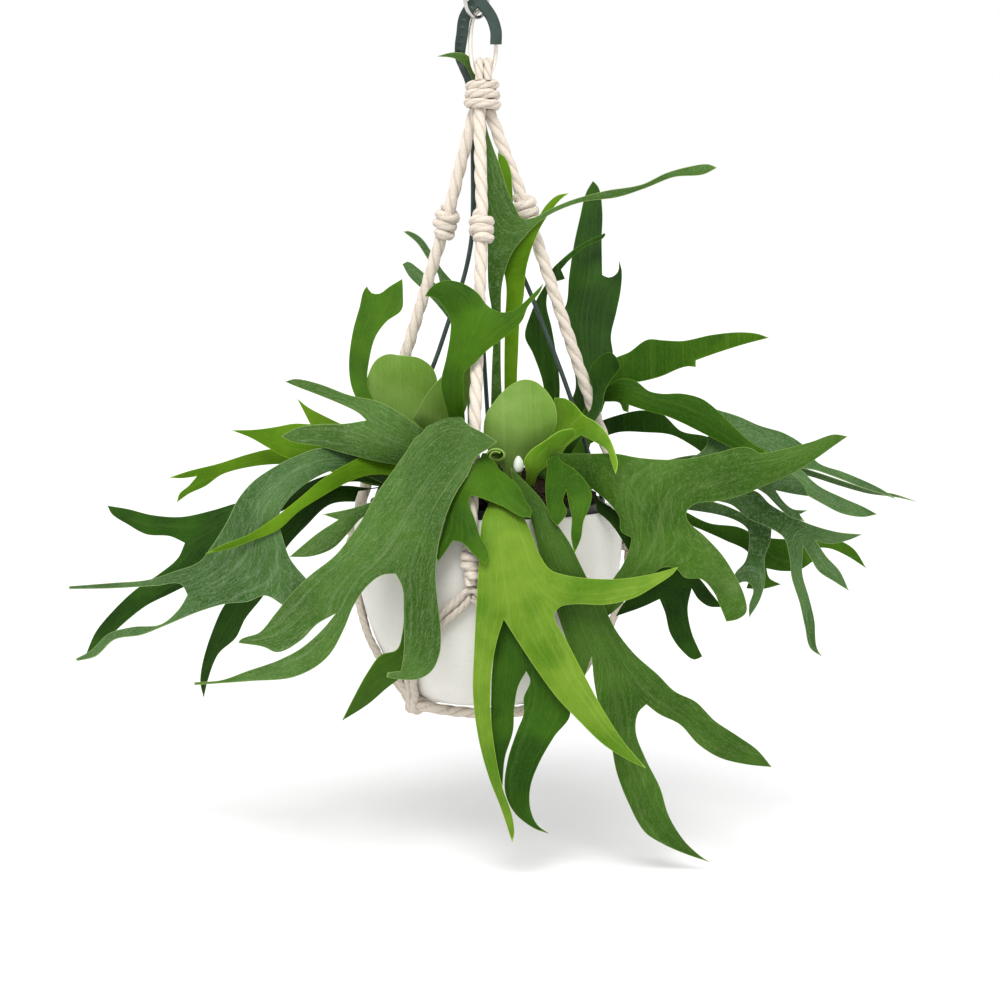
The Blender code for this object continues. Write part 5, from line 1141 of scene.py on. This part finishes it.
for key, ends in NET.items():
    az0 = CORDS[key]
    over = [around(az0, wall_r(-440) + 8.6, -441.0)]
    pts = curve(leg(az0, BASE_AZ[ends[0]])[::-1] + over + leg(az0, BASE_AZ[ends[1]]), 1.6)
    tan = np.gradient(pts, axis=0)
    tan /= np.linalg.norm(tan, axis=1)[:, None]
    outw = np.stack([pts[:, 0] - AXIS_X, pts[:, 1], -0.35 * np.hypot(pts[:, 0] - AXIS_X, pts[:, 1])], 1)
    outw -= tan * (outw * tan).sum(1)[:, None]
    outw /= np.linalg.norm(outw, axis=1)[:, None]
    across = np.cross(outw, tan)
    out = Mesh()
    for side in (-1, 1):
        sweep(out, pts + across * 3.0 * side, 3.0, 18, shape=lay(-24.0, side))
    out.make("net_" + key, "strands_" + key, ROPE, sharp=80)

# ---------------------------------------------------------------- curl and bud
CURL_U, CURL_V, CURL_SQUASH, CURL_Y, CURL_HALF = 8.5, -352.5, 0.72, -60.4, 0.5
CURL_TURNS, CURL_ROWS = 88, 12
verts, grain = [], []
for i in range(CURL_TURNS):
    t, r = math.radians(200 - 6 * i), 7.4 - 0.0425 * i
    du, dv = r * math.cos(t), r * math.sin(t)
    mid = seen(CURL_U + du, CURL_V + CURL_SQUASH * dv, CURL_Y)
    w = np.array([du, 0.0, dv]) / r * CURL_HALF
    for k in (1, -1):
        for j in range(CURL_ROWS // 2):
            depth = (-4.6 + 2.0 * j) * k
            rim = j in (0, 5)
            verts.append(mid + w * k * (1.5 if rim else 1.0) + np.array([0.0, depth, -0.35 * depth]))
            grain.append((0.4 if rim else 3.0, 0 if k > 0 else 1, 0))
faces = turned_over(quads(CURL_TURNS, CURL_ROWS))
faces += [tuple(range(CURL_ROWS)),
          tuple(reversed(range((CURL_TURNS - 1) * CURL_ROWS, CURL_TURNS * CURL_ROWS)))]
out = Mesh()
out.add(verts, faces, grain)
out.make("leaf_curl", "frond_curl", LEAVES["pale"][0], sharp=60)

FELT = plain_material("bud_felt", (0.74, 0.80, 0.66), (0.82, 0.86, 0.78), 400.0, 0.9, 0.0004,
                      Sheen_Weight=0.6)
mid = seen(25.0, -358.0, -54.0)
prof = rounded([(0.3, -6.2), (2.4, -5.2), (3.7, -1.8), (3.3, 2.0), (1.8, 5.0), (0.3, 6.3)], 0.5)
out = Mesh()
turned(out, [(r, mid[2] + z) for r, z in prof], 36, mid[0], mid[1], step=0.5, wobble=0.05)
out.make("young_bud", "bud", FELT)

# ---------------------------------------------------------------- floor, light, camera
world = bpy.data.worlds.new("studio")
bpy.context.scene.world = world
world.use_nodes = True
backdrop = world.node_tree.nodes["Background"]
backdrop.inputs["Color"].default_value = (1.0, 1.0, 1.0, 1.0)
backdrop.inputs["Strength"].default_value = 1.0
bpy.context.scene.view_settings.view_transform = "Standard"

FLOOR_Z, FLOOR_R = float(CAD_BOX[0][2]) - 0.006, 40       # metres, 6 mm under the lowest leaf tip
ang = 2 * np.pi * np.arange(64) / 64
floor_mesh = bpy.data.meshes.new("floor")
floor_mesh.from_pydata([(FLOOR_R * math.cos(t), FLOOR_R * math.sin(t), FLOOR_Z) for t in ang], [],
                       [tuple(range(64))])
floor = bpy.data.objects.new("floor", floor_mesh)
bpy.context.scene.collection.objects.link(floor)
m = Nodes("floor_white")
floor_col = m.mix(m.noise(m.obj, 2.0, 2.0), (0.745, 0.745, 0.745), (0.755, 0.755, 0.755))
floor_mesh.materials.append(m.done(floor_col, 0.9, Specular_IOR_Level=0.0))

sun = bpy.data.lights.new("soft_key", "SUN")
sun.energy, sun.angle = 2.7, math.radians(30)
lamp = bpy.data.objects.new("soft_key", sun)
lamp.rotation_euler = Vector((0.12, 0.95, -1.0)).to_track_quat("-Z", "Y").to_euler()
bpy.context.scene.collection.objects.link(lamp)

cam = bpy.data.objects.new("camera", bpy.data.cameras.new("camera"))
cam.data.angle = 2 * math.atan(375 / 2000)      # 750 mm across at the viewing distance
cam.data.clip_end = 60
cam.location = tuple((EYE - HANG) * MM)
cam.rotation_euler = (math.pi / 2 - VIEW_DOWN, 0, 0)
bpy.context.scene.collection.objects.link(cam)
bpy.context.scene.camera = cam
